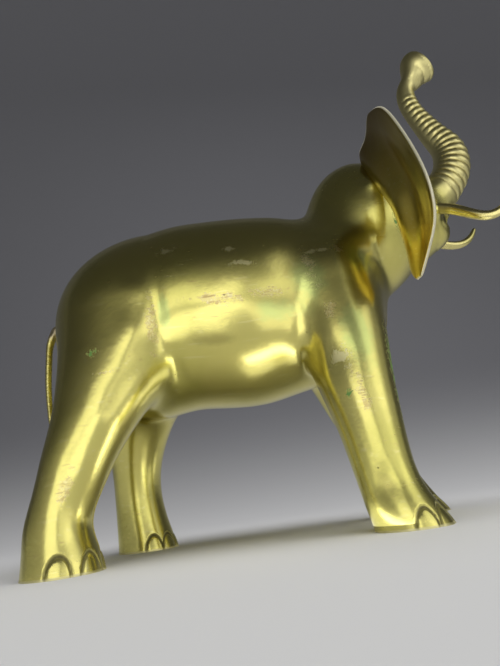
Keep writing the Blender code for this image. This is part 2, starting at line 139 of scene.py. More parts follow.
FORE_LEFT = (
    (9.90, 4.80, -1.0, 2.05, 1.90),
    (9.80, 4.80, 0.0, 1.93, 1.85),
    (9.40, 4.80, 0.9, 1.75, 1.72),
    (8.90, 4.75, 2.0, 1.58, 1.58),
    (8.10, 4.65, 3.6, 1.60, 1.58),
    (7.40, 4.50, 5.4, 1.75, 1.75),
    (6.60, 4.15, 7.7, 2.05, 2.10),
    (5.90, 3.60, 10.5, 2.55, 2.60),
    (5.40, 2.90, 13.2, 2.90, 3.00),
)
print("legs stand at", [row[1][:2] for row in (HIND_RIGHT, HIND_LEFT, FORE_RIGHT, FORE_LEFT)])

# %% [markdown]
# The head's sections are laid out looking straight ahead. The whole head is turned a little later on,
# about an upright axis in the neck. The trunk's rows are close together where it bends most.

# %% Sections of the head and trunk
NECK = ((3.6, 0.0, 15.3, 4.3, 4.6), (6.2, 0.0, 16.6, 3.9, 4.1), (9.0, 0.0, 18.1, 3.5, 3.9))
SKULL = ((8.7, 0.0, 19.4, 4.3, 4.1), (10.3, 0.0, 19.1, 4.0, 4.0), (11.6, 0.0, 19.1, 2.8, 3.0))
JAW = ((8.5, 0.0, 17.1, 3.2, 3.0), (11.4, 0.0, 17.5, 1.7, 2.0), (13.3, 0.0, 17.55, 0.75, 1.0))
TRUNK = (
    (12.0, 0.0, 19.0, 2.2, 2.3),
    (13.6, 0.0, 20.0, 1.60, 1.7),
    (14.8, 0.0, 21.0, 1.28, 1.35),
    (15.5, 0.0, 21.9, 1.24, 1.28),
    (15.85, 0.0, 23.0, 1.18, 1.20),
    (15.75, 0.0, 24.2, 1.04, 1.06),
    (15.35, 0.0, 25.1, 0.92, 0.94),
    (14.80, 0.0, 26.4, 0.78, 0.80),
    (14.34, 0.0, 27.7, 0.68, 0.72),
    (14.12, 0.0, 29.2, 0.66, 0.69),
    (14.26, 0.0, 29.95, 0.63, 0.68),
    (14.58, 0.0, 30.45, 0.72, 0.74),
    (14.95, 0.0, 30.93, 0.94, 0.90),
    (15.27, 0.0, 31.52, 1.18, 1.06),
    (15.69, 0.0, 31.83, 1.43, 1.22),
)
TUSK_SOCKETS = tuple(
    ((11.2, side * 1.7, 18.3, 1.25, 1.20), (13.0, side * 2.10, 18.2, 0.55, 0.55)) for side in (-1, 1)
)
NECK_PIVOT = np.array([5.5, 0.0, 0.0])  # the head turns about an upright axis here
HEAD_TURN = math.radians(8.0)  # towards the elephant's right
print("trunk rows:", len(TRUNK))

# %% [markdown]
# ## A smooth line through the sections
#
# A natural cubic spline passes through every section and bends as little as it can between them. It
# costs one small linear solve. We read it once at a few hundred places and keep the table, because
# looking a value up in a table is far faster than working the spline out for every point.

# %% Natural spline table
def spline_table(knots, rows, count=400):
    """Natural cubic spline through the rows, as (places, values) at even places.

    Between two knots the value is a cubic whose second derivative runs in a straight line from one
    knot's curvature to the next; the curvatures solve one linear system and are zero at both ends.
    """
    rows = np.array(rows, float)
    gaps = np.diff(knots)
    last = len(rows) - 1
    bend = np.eye(last + 1)
    pull = np.zeros_like(rows)
    for i in range(1, last):
        bend[i, i - 1 : i + 2] = (gaps[i - 1], 2 * (gaps[i - 1] + gaps[i]), gaps[i])
        pull[i] = 6 * ((rows[i + 1] - rows[i]) / gaps[i] - (rows[i] - rows[i - 1]) / gaps[i - 1])
    curvature = np.linalg.solve(bend, pull)
    places = np.linspace(knots[0], knots[-1], count)
    span = np.clip(np.searchsorted(knots, places, side="right") - 1, 0, last - 1)
    after = (places - knots[span])[:, None]
    gap = gaps[span][:, None]
    before = gap - after
    values = (
        (curvature[span] * before**3 + curvature[span + 1] * after**3) / (6 * gap)
        + (rows[span] / gap - curvature[span] * gap / 6) * before
        + (rows[span + 1] / gap - curvature[span + 1] * gap / 6) * after
    )
    return places, values


def line_lengths(rows):
    """Distance along the middle line at each row: the running sum of the straight steps."""
    steps = np.linalg.norm(np.diff(np.array(rows, float)[:, :3], axis=0), axis=1)
    return np.concatenate([[0.0], np.cumsum(steps)])


trunk_length = line_lengths(TRUNK)[-1]
print("trunk length in modules:", round(trunk_length, 2))

# %% [markdown]
# ## Fields: a solid as a number at every point
#
# The limbs run into each other with soft fillets, as wax does under a thumb. A grid of two
# parameters can't branch, so the body is made another way, as a field: a number that is below zero
# inside the metal, zero on its skin and above zero outside. Two fields join by taking the smaller
# number, and a smooth version of that minimum makes the fillet.

# %% Fields of the limbs
FORWARD, UP = 0, 2  # the axis that a limb's sections are square to
TINY = 1e-9  # keeps a division by nothing away


def section_field(points, rows, axis, first_dome, last_dome, ease=0.0):
    """Elliptical sections square to an axis: distance from the middle line over the section's half
    sizes, less one, times the smaller half size. Past the end rows the limb closes in domes. Ease
    starts the last dome gently, as x squared over x plus ease, and lets the sections run on past the
    last row by ease times one less e to the minus x over ease, so that no edge shows there."""
    places, table = spline_table(np.array(rows, float)[:, axis], rows)
    place = np.clip(points[:, axis], places[0], places[-1])
    past = points[:, axis] - place
    run_on = ease * (1.0 - np.exp(-np.clip(past, 0.0, None) / (ease + TINY)))
    growth = (table[-1] - table[-2]) / (places[-1] - places[-2])
    middle = [np.interp(place, places, column) + grown * run_on for column, grown in zip(table.T, growth)]
    eased = past * np.abs(past) / (np.abs(past) + ease + TINY)
    past = np.where(past < 0, past / first_dome, eased / last_dome)
    lengthwise = UP if axis == FORWARD else FORWARD
    upright = (points[:, lengthwise] - middle[lengthwise]) / middle[3]
    sideways = (points[:, 1] - middle[1]) / middle[4]
    return (np.sqrt(upright**2 + sideways**2 + past**2) - 1.0) * np.minimum(middle[3], middle[4])


def tube_field(points, rows, pieces=40):
    """A bent tube: for each straight piece of its line, distance over girth less one, keeping the
    smallest. Also gives how far along the line and how far to its front each point lies."""
    places, table = spline_table(line_lengths(rows), rows, pieces)
    nearest = np.full(len(points), 1e3)
    reached = np.zeros(len(points))
    front = np.zeros(len(points))
    for i in range(pieces - 1):
        start, end = table[i], table[i + 1]
        step = end[:3] - start[:3]
        foot = (points - start[:3]) @ step / (step @ step)
        share = np.clip(foot, 0.0, 1.0)
        offset = points - start[:3] - share[:, None] * step
        depth = start[3] + share * (end[3] - start[3])
        width = start[4] + share * (end[4] - start[4])
        reach = np.hypot(np.hypot(offset[:, 0], offset[:, 2]) / depth, offset[:, 1] / width)
        value = (reach - 1.0) * depth
        facing = (offset[:, 0] * step[2] - offset[:, 2] * step[0]) / np.linalg.norm(step) / depth
        better = value < nearest
        nearest = np.where(better, value, nearest)
        reached = np.where(better, places[i] + foot * (places[i + 1] - places[i]), reached)
        front = np.where(better, facing, front)
    return nearest, reached, front


def smooth_min(first, second, radius):
    """The smaller of two fields, less near cubed times a sixth of the radius, where near falls from
    one to zero as the fields part by the radius."""
    near = np.clip(1.0 - np.abs(first - second) / radius, 0.0, None)
    return np.minimum(first, second) - near**3 * radius / 6.0


def turned(points, angle):
    """Points turned about the neck's upright axis; a positive angle goes to the left."""
    x, y, z = (points - NECK_PIVOT).T
    return NECK_PIVOT + np.stack(
        [x * math.cos(angle) - y * math.sin(angle), x * math.sin(angle) + y * math.cos(angle), z], axis=1
    )


print("two balls one apart join at", smooth_min(np.array([0.2]), np.array([0.2]), 1.0))

# %% [markdown]
# ## Relief: what a step nearer shows
#
# The trunk has about twenty rings, the feet have toenails cut as arches, and the founder filed soft
# planes and hollows into the shoulders and thighs. Each is a small height added to the skin. A round
# swell is a bell curve of the distance from its middle, and a crease is a bell curve of the distance
# from a line.

# %% Trunk rings and toenails
RING_COUNT = 20
RING_RELIEF = 0.11  # height between groove and ridge, in modules
RINGS_FROM, RINGS_TO = 2.6, 12.1  # along the trunk's line
RING_LIFT, RING_POWER = 0.015, 0.3  # a low power makes round ridges and narrow grooves
RING_LEVEL = 0.7  # the part of a ridge that lies on the trunk's own skin
NAIL_HALF_WIDTH, NAIL_HEIGHT = 0.62, 0.95
NAIL_PAD, NAIL_GROOVE = 0.035, 0.065  # height of the pad and depth of the groove round it
GROOVE_WIDTH = 0.10  # as a share of the arch
# Each foot's middle, half depth and half width, then the nails' angles from straight ahead.
FEET = (
    (HIND_RIGHT[1], (-76, -26, 22, 70)),
    (HIND_LEFT[1], (-65, -29, 8, 46)),
    (FORE_RIGHT[1], (-84, -45, -6, 36)),
    (FORE_LEFT[1], (-52, -10, 31, 71)),
)


def ring_relief(reached, front):
    """Rings as (height, painted shade in the grooves): the squared sine of the place along the trunk, a
    little lifted and raised to a low power so that ridges are round and grooves narrow, fading at both ends
    and on the rear."""
    share = (reached - RINGS_FROM) / (RINGS_TO - RINGS_FROM)
    ridge = ((np.sin(np.pi * RING_COUNT * share) ** 2 + RING_LIFT) / (1.0 + RING_LIFT)) ** RING_POWER
    fade = np.clip(share * 12.0, 0.0, 1.0) * np.clip((1.0 - share) * 12.0, 0.0, 1.0)
    fade = fade * np.clip((front + 0.85) * 2.2, 0.0, 1.0)
    return RING_RELIEF * (ridge - RING_LEVEL) * fade, np.clip((0.72 - ridge) / 0.42, 0.0, 1.0) * fade


def nail_relief(points):
    """Toenails as (height, dirt and painted shade): a low pad inside an arch whose radius is the width
    sideways and the height upward, ringed by a groove that is a narrow bell curve of the distance from the
    arch."""
    height = np.zeros(len(points))
    dirt_and_shade = np.zeros(len(points))
    for foot, angles in FEET:
        across = points[:, :2] - np.array(foot[:2])
        close = (points[:, 2] < 1.7) & (np.hypot(across[:, 0], across[:, 1]) < 3.2)
        angle = np.arctan2(across[close, 1] / foot[4], across[close, 0] / foot[3])
        for degrees in angles:
            swing = np.remainder(angle - math.radians(degrees) + math.pi, 2 * math.pi) - math.pi
            arch = np.hypot(swing * 2.0 / NAIL_HALF_WIDTH, points[close, 2] / NAIL_HEIGHT)
            groove = np.exp(-(((arch - 1.0) / GROOVE_WIDTH) ** 2))
            height[close] += NAIL_PAD * np.clip(1.0 - arch**2, 0.0, None) - NAIL_GROOVE * groove
            dirt_and_shade[close] = np.maximum(dirt_and_shade[close], groove)
    return height, dirt_and_shade


print("nails:", sum(len(angles) for _, angles in FEET))

# %% [markdown]
# The filed planes and hollows come next, and the lids of the eyes. The planes are what breaks the
# reflections on the flank into the bright and dark lozenges that brass shows, so they matter more
# here than on a dull surface.

# %% Swells and creases
# Swells: middle, half sizes and height, in modules, for the right side. A negative height is a hollow.
BODY_SWELLS = (
    ((4.5, -6.1, 8.8), (0.8, 1.5, 1.2), -0.11),
    ((5.5, -6.3, 2.2), (0.6, 1.2, 0.9), -0.11),
    ((3.4, -5.3, 9.4), (0.45, 1.2, 1.3), -0.13),
    ((-9.6, -6.3, 4.6), (0.7, 1.2, 1.3), -0.08),
    ((-10.2, -6.5, 2.2), (0.8, 1.2, 0.7), 0.06),
    ((-5.0, -6.1, 12.4), (0.5, 1.6, 3.0), -0.12),
    ((-4.4, -4.6, 9.6), (0.5, 1.4, 1.1), -0.16),
    ((-7.3, -6.2, 8.2), (0.7, 1.4, 1.6), -0.07),
    ((2.6, -5.9, 13.0), (0.9, 1.5, 2.6), -0.05),
    ((4.4, -5.8, 13.2), (0.9, 1.6, 2.4), 0.05),
    ((-2.0, -6.2, 12.6), (1.6, 1.5, 0.9), 0.08),
    ((7.5, -4.3, 16.1), (1.5, 1.3, 0.8), 0.20),
)
HEAD_SWELLS = (
    ((9.4, -4.15, 19.9), (0.42, 0.5, 0.5), 0.22),
    ((12.35, -2.75, 20.15), (0.52, 0.6, 0.46), 0.16),
    ((10.4, -3.9, 20.2), (1.0, 1.2, 0.9), -0.10),
    ((13.95, 0.0, 31.5), (0.6, 1.3, 0.8), -0.24),
)
# Creases: two ends, width and depth. A wide one holds no dirt and no painted shade, and a negative depth is
# a ridge.
BODY_CREASES = (
    ((-6.0, -6.1, 13.9), (-6.2, -6.2, 11.6), 0.90, -0.10),
    ((-6.2, -6.2, 11.6), (-8.0, -6.3, 7.6), 1.10, -0.13),
)
WIDEST_WITH_DIRT_AND_SHADE = 0.3
HEAD_CREASES = (
    ((11.9, -2.95, 20.55), (12.85, -2.6, 20.45), 0.10, 0.07),
    ((11.9, -2.95, 19.75), (12.85, -2.6, 19.85), 0.10, 0.07),
)


def swell_relief(points, swells):
    """Sum of round swells: height times e to the minus squared distance, measured in half sizes. The
    distance uses the unsigned side, so both flanks get them."""
    height = np.zeros(len(points))
    for middle, size, amount in swells:
        away = (points * (1, 0, 1) - np.abs(points) * (0, 1, 0) - np.array(middle)) / np.array(size)
        height += amount * np.exp(-(away**2).sum(axis=1))
    return height


def crease_relief(points, creases):
    """Creases as (height, dirt and painted shade): minus depth times a bell curve of the distance from a
    straight line between two ends, on both flanks."""
    height = np.zeros(len(points))
    dirt_and_shade = np.zeros(len(points))
    folded = points * (1, 0, 1) - np.abs(points) * (0, 1, 0)
    for start, end, width, depth in creases:
        start, step = np.array(start), np.array(end) - np.array(start)
        share = np.clip((folded - start) @ step / (step @ step), 0.0, 1.0)
        away = np.linalg.norm(folded - start - share[:, None] * step, axis=1)
        bell = np.exp(-((away / width) ** 2))
        height -= depth * bell
        if depth > 0 and width < WIDEST_WITH_DIRT_AND_SHADE:
            dirt_and_shade = np.maximum(dirt_and_shade, 0.5 * bell)
    return height, dirt_and_shade


print("swells and creases:", len(BODY_SWELLS + HEAD_SWELLS), len(BODY_CREASES + HEAD_CREASES))

# %% [markdown]
# Now every limb and every relief goes into one field. Head pieces are measured in the head's own
# frame, which is turned a little to the elephant's right. The trunk's end is cut square and dished,
# with two nostrils, and the mouth is a slot under the trunk.

# %% The whole casting's field
TORSO_DOMES = (6.8, 4.2)  # rear and front
LEG_DOMES, LEG_EASE = (1.0, 3.2), 1.2  # sole and top, and how gently the top starts
LEGS = ((HIND_RIGHT, 2.2), (HIND_LEFT, 2.2), (FORE_RIGHT, 1.8), (FORE_LEFT, 1.8))  # with their fillets
HEAD_PARTS = ((NECK, (3.0, 3.0), 2.4), (SKULL, (3.7, 2.4), 1.8), (JAW, (2.0, 0.9), 2.4))
FACE_FORWARD, FACE_UP = 7.4, 15.5  # ahead of and above these lie the trunk, the sockets and the mouth
NOSTRIL_SIDE, NOSTRIL_SIZE = 0.48, (0.42, 0.34, 0.42)
MOUTH_MIDDLE, MOUTH_SIZE = (13.9, 0.0, 18.1), (1.7, 1.25, 0.42)


def body_field(points):
    """The casting at points in modules, as (field, dirt and painted shade)."""
    in_head = turned(points, HEAD_TURN)
    field = section_field(points, TORSO, FORWARD, *TORSO_DOMES)
    for rows, fillet in LEGS:
        field = smooth_min(field, section_field(points, rows, UP, *LEG_DOMES, LEG_EASE), fillet)
    for rows, domes, fillet in HEAD_PARTS:
        field = smooth_min(field, section_field(in_head, rows, FORWARD, *domes), fillet)
    dirt_and_shade = np.zeros(len(points))
    near = (in_head[:, 0] > FACE_FORWARD) & (in_head[:, 2] > FACE_UP)
    if near.any():
        field[near], dirt_and_shade[near] = head_front(in_head[near], field[near])
    nail_height, nail_dirt_and_shade = nail_relief(points)
    crease_height, crease_dirt_and_shade = crease_relief(points, BODY_CREASES)
    field = field - nail_height - crease_height - swell_relief(points, BODY_SWELLS)
    return field, np.maximum(dirt_and_shade, np.maximum(nail_dirt_and_shade, crease_dirt_and_shade))


def head_front(points, field):
    """Trunk, tusk sockets, mouth, nostrils and eyes, joined to the field of the head behind them."""
    trunk, reached, front = tube_field(points, TRUNK, 110)
    ring_height, dirt_and_shade = ring_relief(reached, front)
    trunk = trunk - ring_height
    end = np.array(TRUNK[-1][:3])
    out = end - np.array(TRUNK[-2][:3])
    out = out / np.linalg.norm(out)
    beyond = (points - end) @ out
    trunk = -smooth_min(-trunk, -(beyond - 0.15), 0.5)
    for side in (-NOSTRIL_SIDE, NOSTRIL_SIDE):
        nostril = np.linalg.norm((points - end - 0.2 * out - (0.0, side, 0.0)) / NOSTRIL_SIZE, axis=1)
        trunk = -smooth_min(-trunk, (nostril - 1.0) * NOSTRIL_SIZE[1], 0.12)
        dirt_and_shade = np.maximum(dirt_and_shade, np.clip(1.6 - nostril, 0.0, 1.0))
    field = smooth_min(field, trunk, 0.9)
    for rows in TUSK_SOCKETS:
        field = smooth_min(field, tube_field(points, rows, 8)[0], 0.8)
    mouth = np.linalg.norm((points - MOUTH_MIDDLE) / MOUTH_SIZE, axis=1) - 1.0
    field = -smooth_min(-field, mouth * MOUTH_SIZE[2], 0.3)
    # Dirt and painted shade in the mouth slot, as in the nostrils above.
    dirt_and_shade = np.maximum(dirt_and_shade, np.clip(0.5 - 3.0 * mouth, 0.0, 1.0) * 0.7)
    lid_height, lid_dirt_and_shade = crease_relief(points, HEAD_CREASES)
    dirt_and_shade = np.maximum(dirt_and_shade * (reached > 0.5), lid_dirt_and_shade)
    return field - swell_relief(points, HEAD_SWELLS) - lid_height, dirt_and_shade


probe, _ = body_field(np.array([[0.0, 0.0, 14.0], [0.0, 0.0, 30.0]]))
print("field inside and outside:", probe.round(2))

# %% [markdown]
# ## The skin
#
# A copy of the CAD body, remeshed into small even cells, is already within a fraction of a
# millimetre of the field's zero. Moving each point along the field's slope by minus the value over
# the squared slope puts it on the skin; this is Newton's method. The feet are first drawn down below
# the floor, so that a level cut makes crisp soles.

# %% Settle a skin on the field
CELL = 0.0022  # in metres
SMALL_STEP = 0.01  # for slopes, in modules
LONGEST_MOVE = 0.3  # a step, in modules
BELOW_FLOOR = -0.006  # where the soles go before they are cut, in metres


def slope_of(points, value):
    """Slope by small steps: the field a little further along each axis less the field here."""
    ahead = [body_field(points + SMALL_STEP * axis)[0] - value for axis in np.eye(3)]
    return np.stack(ahead, axis=1) / SMALL_STEP


def settle(points, steps):
    """Points moved onto the skin by Newton's method: minus value times slope over squared slope."""
    for _ in range(steps):
        value = body_field(points)[0]
        slope = slope_of(points, value)
        move = -value[:, None] * slope / np.clip((slope**2).sum(axis=1, keepdims=True), 0.05, None)
        length = np.linalg.norm(move, axis=1, keepdims=True)
        points = points + move * np.minimum(1.0, LONGEST_MOVE / np.maximum(length, TINY))
    return points


def vertex_places(mesh):
    """All vertex places of a mesh as one array."""
    places = np.empty(len(mesh.vertices) * 3, np.float32)
    mesh.vertices.foreach_get("co", places)
    return places.reshape(-1, 3).astype(float)


def set_places(mesh, places):
    """Writes all vertex places back."""
    mesh.vertices.foreach_set("co", places.astype(np.float32).ravel())


def even_skin(node, cell):
    """A merged copy of a CAD node, its soles drawn down, fused into even cells by a voxel Remesh."""
    mesh = node.data.copy()
    shape = bmesh.new()
    shape.from_mesh(mesh)
    bmesh.ops.remove_doubles(shape, verts=shape.verts, dist=1e-6)
    shape.to_mesh(mesh)
    shape.free()
    places = vertex_places(mesh)
    places[:, 2] = np.where(places[:, 2] < 1e-5, BELOW_FLOOR, places[:, 2])
    set_places(mesh, places)
    rough = bpy.data.objects.new("rough skin", mesh)
    bpy.context.scene.collection.objects.link(rough)
    remesh = rough.modifiers.new("fuse", "REMESH")
    remesh.mode = "VOXEL"
    remesh.voxel_size = cell
    fused = bpy.data.meshes.new_from_object(rough.evaluated_get(bpy.context.evaluated_depsgraph_get()))
    bpy.data.objects.remove(rough)
    return fused


even = even_skin(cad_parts["body"], CELL)
print("even cells:", len(even.vertices))

# %% [markdown]
# Rings, nails and eyelids are finer than the even cells, so the cells there are halved, and halved
# again where a groove is narrow. A cell is halved when both ends of an edge pass a test on place.

# %% Refine the trunk, feet and eyes
def refine(shape, wanted):
    """Halves the cells whose corners are all wanted; wanted is a test on places in modules."""
    shape.verts.index_update()
    inside = wanted(np.array([v.co for v in shape.verts]))
    edges = [e for e in shape.edges if inside[e.verts[0].index] and inside[e.verts[1].index]]
    bmesh.ops.subdivide_edges(shape, edges=edges, cuts=1, use_grid_fill=True)
    bmesh.ops.triangulate(shape, faces=[f for f in shape.faces if len(f.verts) > 4])


TRUNK_BOX = (12.9, 19.6)  # the trunk lies ahead of the first and above the second, in modules
RINGS_BOX = (13.2, 20.6, 30.2)  # its rings too, and below the third
EYE_MIDDLE, EYE_REACH = (12.4, 2.7, 20.1), 1.2
FEET_TOP = 1.3


def near_detail(points):
    """True on the trunk, the feet and round the eyes."""
    in_head = turned(points, HEAD_TURN)
    trunk = (in_head[:, 0] > TRUNK_BOX[0]) & (in_head[:, 2] > TRUNK_BOX[1])
    folded = in_head * (1, 0, 1) + np.abs(in_head) * (0, 1, 0)
    eye = np.linalg.norm(folded - EYE_MIDDLE, axis=1) < EYE_REACH
    return trunk | eye | (points[:, 2] < FEET_TOP)


def near_fine_detail(points):
    """True on the ringed part of the trunk and on the nails' grooves."""
    in_head = turned(points, HEAD_TURN)
    trunk = (in_head[:, 0] > RINGS_BOX[0]) & (in_head[:, 2] > RINGS_BOX[1]) & (in_head[:, 2] < RINGS_BOX[2])
    return trunk | ((nail_relief(points)[1] > 0.05) & (points[:, 2] > -0.2))


places = settle(vertex_places(even) / MODULE + BOX_MIDDLE, 3)
set_places(even, places)
shape = bmesh.new()
shape.from_mesh(even)
for test in (near_detail, near_fine_detail):
    refine(shape, test)
print("refined cells:", len(shape.verts))

# %% [markdown]
# The last pass settles the new points too, cuts at the floor and closes the soles. Then each corner
# gets its normal straight from the field's slope. That keeps reflections smooth even where the cells
# are coarse, which matters on polished metal.

# %% Close the soles and set the normals
def mesh_object(name, mesh):
    """A finished piece at the origin, smooth-shaded, that rides on the one body."""
    piece = bpy.data.objects.new(name, mesh)
    bpy.context.scene.collection.objects.link(piece)
    mesh.shade_smooth()
    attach(piece, "root")
    return piece


def write_attribute(mesh, name, values):
    """One number per vertex, which the material reads by name."""
    attribute = mesh.attributes.new(name, "FLOAT", "POINT")
    attribute.data.foreach_set("value", np.asarray(values, np.float32))


shape.to_mesh(even)
shape.free()
places = settle(vertex_places(even), 2)
set_places(even, places)
shape = bmesh.new()
shape.from_mesh(even)
everything = shape.verts[:] + shape.edges[:] + shape.faces[:]
bmesh.ops.bisect_plane(
    shape, geom=everything, dist=1e-4, plane_co=(0, 0, 0), plane_no=(0, 0, 1), clear_inner=True
)
bmesh.ops.holes_fill(shape, edges=[edge for edge in shape.edges if edge.is_boundary])
bmesh.ops.triangulate(shape, faces=shape.faces)
bmesh.ops.recalc_face_normals(shape, faces=shape.faces)
shape.to_mesh(even)
shape.free()

places = vertex_places(even)
value, dirt_and_shade = body_field(places)
normals = slope_of(places, value)
normals /= np.linalg.norm(normals, axis=1, keepdims=True)
set_places(even, (places - BOX_MIDDLE) * MODULE)
even.update()
write_attribute(even, "dirt_and_shade", dirt_and_shade)
elephant_body = mesh_object("cast_body", even)
corners = np.empty(len(even.loops), np.int32)
even.loops.foreach_get("vertex_index", corners)
corner_normals = normals[corners]
flat = np.abs(places[corners, 2]).reshape(-1, 3).max(axis=1) < 1e-3
corner_normals[np.repeat(flat, 3)] = (0.0, 0.0, -1.0)
even.normals_split_custom_set(corner_normals.tolist())
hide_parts("body")
print("body triangles:", len(even.polygons))
print("worst distance off the field:", np.abs(value[places[:, 2] > 0.01]).max().round(3))

# %% [markdown]
# ## Ears
#
# An ear is a thin cast fan. Its middle sheet is a function of two parameters: u runs from the root
# to the outer rim and v from the top down. Two splines give the inner and outer edges, everything
# between is mixed from them, and a wave across the sheet gives the dish, the fold along the root and
# the ribs. Moving the sheet both ways along its normal, by a thickness that runs out at the rims,
# closes it into a solid.

# %% Shape of an ear
# Places and lengths are in modules, in the head's own frame.
EAR_ROOT = np.array([9.95, 4.0, 18.7])
EAR_SPLAY = math.radians(6.0)
EAR_LEAN = {"right": math.radians(8.0), "left": math.radians(-7.0)}
EAR_THICKNESS = 0.22
# Edges as outward and up, from the top down.
EAR_INNER = (
    *((-1.0, 3.7), (-0.5, 2.0), (0.2, 0.4), (0.8, -1.4)),
    *((0.6, -2.6), (0.2, -3.9), (-0.4, -5.0), (-0.1, -5.7)),
)
EAR_OUTER = (
    *((2.9, 4.15), (4.75, 2.9), (5.6, 1.0), (6.0, -1.0)),
    *((6.0, -2.9), (5.3, -4.3), (3.7, -5.05), (0.6, -5.75)),
)
ROOT_FOLD, DISH, RIB = 0.45, 0.35, 0.07  # heights of the waves across the sheet


def closed_sheet(name, front, back):
    """A closed mesh from two grids of points that share their border."""
    rows, columns = front.shape[:2]
    number = np.arange(rows * columns).reshape(rows, columns)
    inner = np.arange((rows - 2) * (columns - 2)).reshape(rows - 2, columns - 2) + rows * columns
    other = number.copy()
    other[1:-1, 1:-1] = inner
    points = np.concatenate([front.reshape(-1, 3), back[1:-1, 1:-1].reshape(-1, 3)])
    quads = []
    for grid, way in ((number, 1), (other, -1)):
        corners = np.stack([grid[:-1, :-1], grid[:-1, 1:], grid[1:, 1:], grid[1:, :-1]], axis=-1)
        quads.append(corners.reshape(-1, 4)[:, ::way])
    mesh = bpy.data.meshes.new(name)
    mesh.from_pydata(points.tolist(), [], np.concatenate(quads).tolist())
    return mesh


def outward(mesh):
    """Turns all faces outward."""
    shape = bmesh.new()
    shape.from_mesh(mesh)
    bmesh.ops.recalc_face_normals(shape, faces=shape.faces)
    shape.to_mesh(mesh)
    shape.free()


def make_ear(side, across=70, down=110):
    """Ear: mix of inner and outer edge by u, less dish along the sheet's normal, plus and minus half
    the thickness times the run-out at the rims."""
    sweep = np.linspace(0.0, 1.0, across)
    drop = np.linspace(0.0, 1.0, down)
    u = (0.5 - 0.5 * np.cos(np.pi * sweep))[None, :]
    v = (0.5 - 0.5 * np.cos(np.pi * drop))[:, None]
    edges = []
    for rows in (EAR_INNER, EAR_OUTER):
        spots, table = spline_table(np.linspace(0, 1, len(rows)), rows)
        edge = np.stack([np.interp(v[:, 0], spots, column) for column in table.T], axis=-1)
        edges.append(edge[:, None, :])
    flat = edges[0] * (1 - u[..., None]) + edges[1] * u[..., None]
    flat[..., 1] += 0.25 * np.sin(np.pi * u) * (1.0 - v) ** 4
    out = np.array([math.sin(EAR_SPLAY), math.cos(EAR_SPLAY), 0.0])
    up = np.array([-math.sin(EAR_LEAN[side]), 0.0, math.cos(EAR_LEAN[side])])
    normal = np.cross(out, up)
    dish = ROOT_FOLD * np.exp(-(((u - 0.22) / 0.16) ** 2)) - DISH * np.sin(np.pi * u) ** 2
    dish = dish * np.sin(np.pi * (0.15 + 0.8 * v))
    ribs = RIB * np.sin(17.0 * u + 5.0 * v) * np.exp(-(((v - 0.42) / 0.25) ** 2)) * np.sin(np.pi * u)
    middle = EAR_ROOT + flat[..., :1] * out + flat[..., 1:] * up - (dish + ribs)[..., None] * normal
    run_out = np.sqrt(np.clip(1.0 - np.abs(2 * u - 1) ** 26, 0, 1))
    run_out = run_out * np.sqrt(np.clip(1.0 - np.abs(2 * v - 1) ** 34, 0, 1))
    half = 0.5 * EAR_THICKNESS * run_out[..., None] * normal
    rim = np.clip(1.0 - np.minimum(1 - u, np.minimum(v, 1 - v) + 0 * u) / 0.03, 0.0, 1.0)
    return middle + half, middle - half, rim


print("ear edges:", len(EAR_INNER), len(EAR_OUTER))

# %% [markdown]
# Both ears come from the one function. The right one is its mirror image, with a lean of its own, and
# each is turned with the head. One number per vertex goes along for the material: how near the rim it
# lies.

# %% Make both ears
ears = {}
for side in ("right", "left"):
    front, back, rim = make_ear(side)
    flip = np.array([1.0, -1.0, 1.0]) if side == "right" else np.ones(3)
    grids = [
        ((turned((grid * flip).reshape(-1, 3), -HEAD_TURN) - BOX_MIDDLE) * MODULE).reshape(grid.shape)
        for grid in (front, back)
    ]
    mesh = closed_sheet("cast_ear_" + side, *grids)
    outward(mesh)
    write_attribute(mesh, "rim", np.concatenate([rim.ravel(), rim[1:-1, 1:-1].ravel()]))
    ears[side] = mesh_object("cast_ear_" + side, mesh)
    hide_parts("ear_" + side)
print("ear faces each:", len(mesh.polygons))

# %% [markdown]
# ## Tusks and tail
#
# These are cast rods: a round profile carried along a bent path. At each place the profile's plane
# is square to the path, and its size follows the rows. The ends close in a point.

# %% Rods along a path
TUSK_RIGHT = (
    (13.40, -2.20, 18.3, 0.34, 0.34),
    (14.25, -2.60, 17.75, 0.33, 0.33),
    (15.10, -3.10, 16.9, 0.31, 0.31),
    (15.95, -3.40, 16.5, 0.28, 0.28),
    (16.80, -3.65, 16.85, 0.24, 0.24),
    (17.55, -3.90, 17.9, 0.14, 0.14),
)
TUSK_LEFT = (
    (13.6, 2.28, 18.15, 0.34, 0.34),
    (14.3, 2.45, 17.95, 0.32, 0.32),
    (15.1, 2.75, 17.82, 0.30, 0.30),
    (16.0, 3.10, 17.95, 0.27, 0.27),
    (16.8, 3.40, 18.5, 0.21, 0.21),
    (17.3, 3.60, 19.2, 0.12, 0.12),
)
TAIL = (
    (-12.40, 0.0, 14.8, 0.30, 0.36),
    (-13.00, 0.0, 14.7, 0.27, 0.33),
    (-13.40, 0.0, 14.1, 0.23, 0.30),
    (-13.55, 0.0, 12.9, 0.20, 0.27),
    (-13.58, 0.0, 11.2, 0.19, 0.25),
    (-13.50, 0.0, 9.7, 0.17, 0.22),
    (-13.35, 0.0, 8.3, 0.14, 0.18),
    (-13.20, 0.0, 7.3, 0.08, 0.10),
)


print("rod rows:", len(TUSK_RIGHT), len(TUSK_LEFT), len(TAIL))


# %% [markdown]
# A rod's ring of points needs two directions square to the path: one across it, upright, and one
# aside. Cosine and sine carry a point round between them.

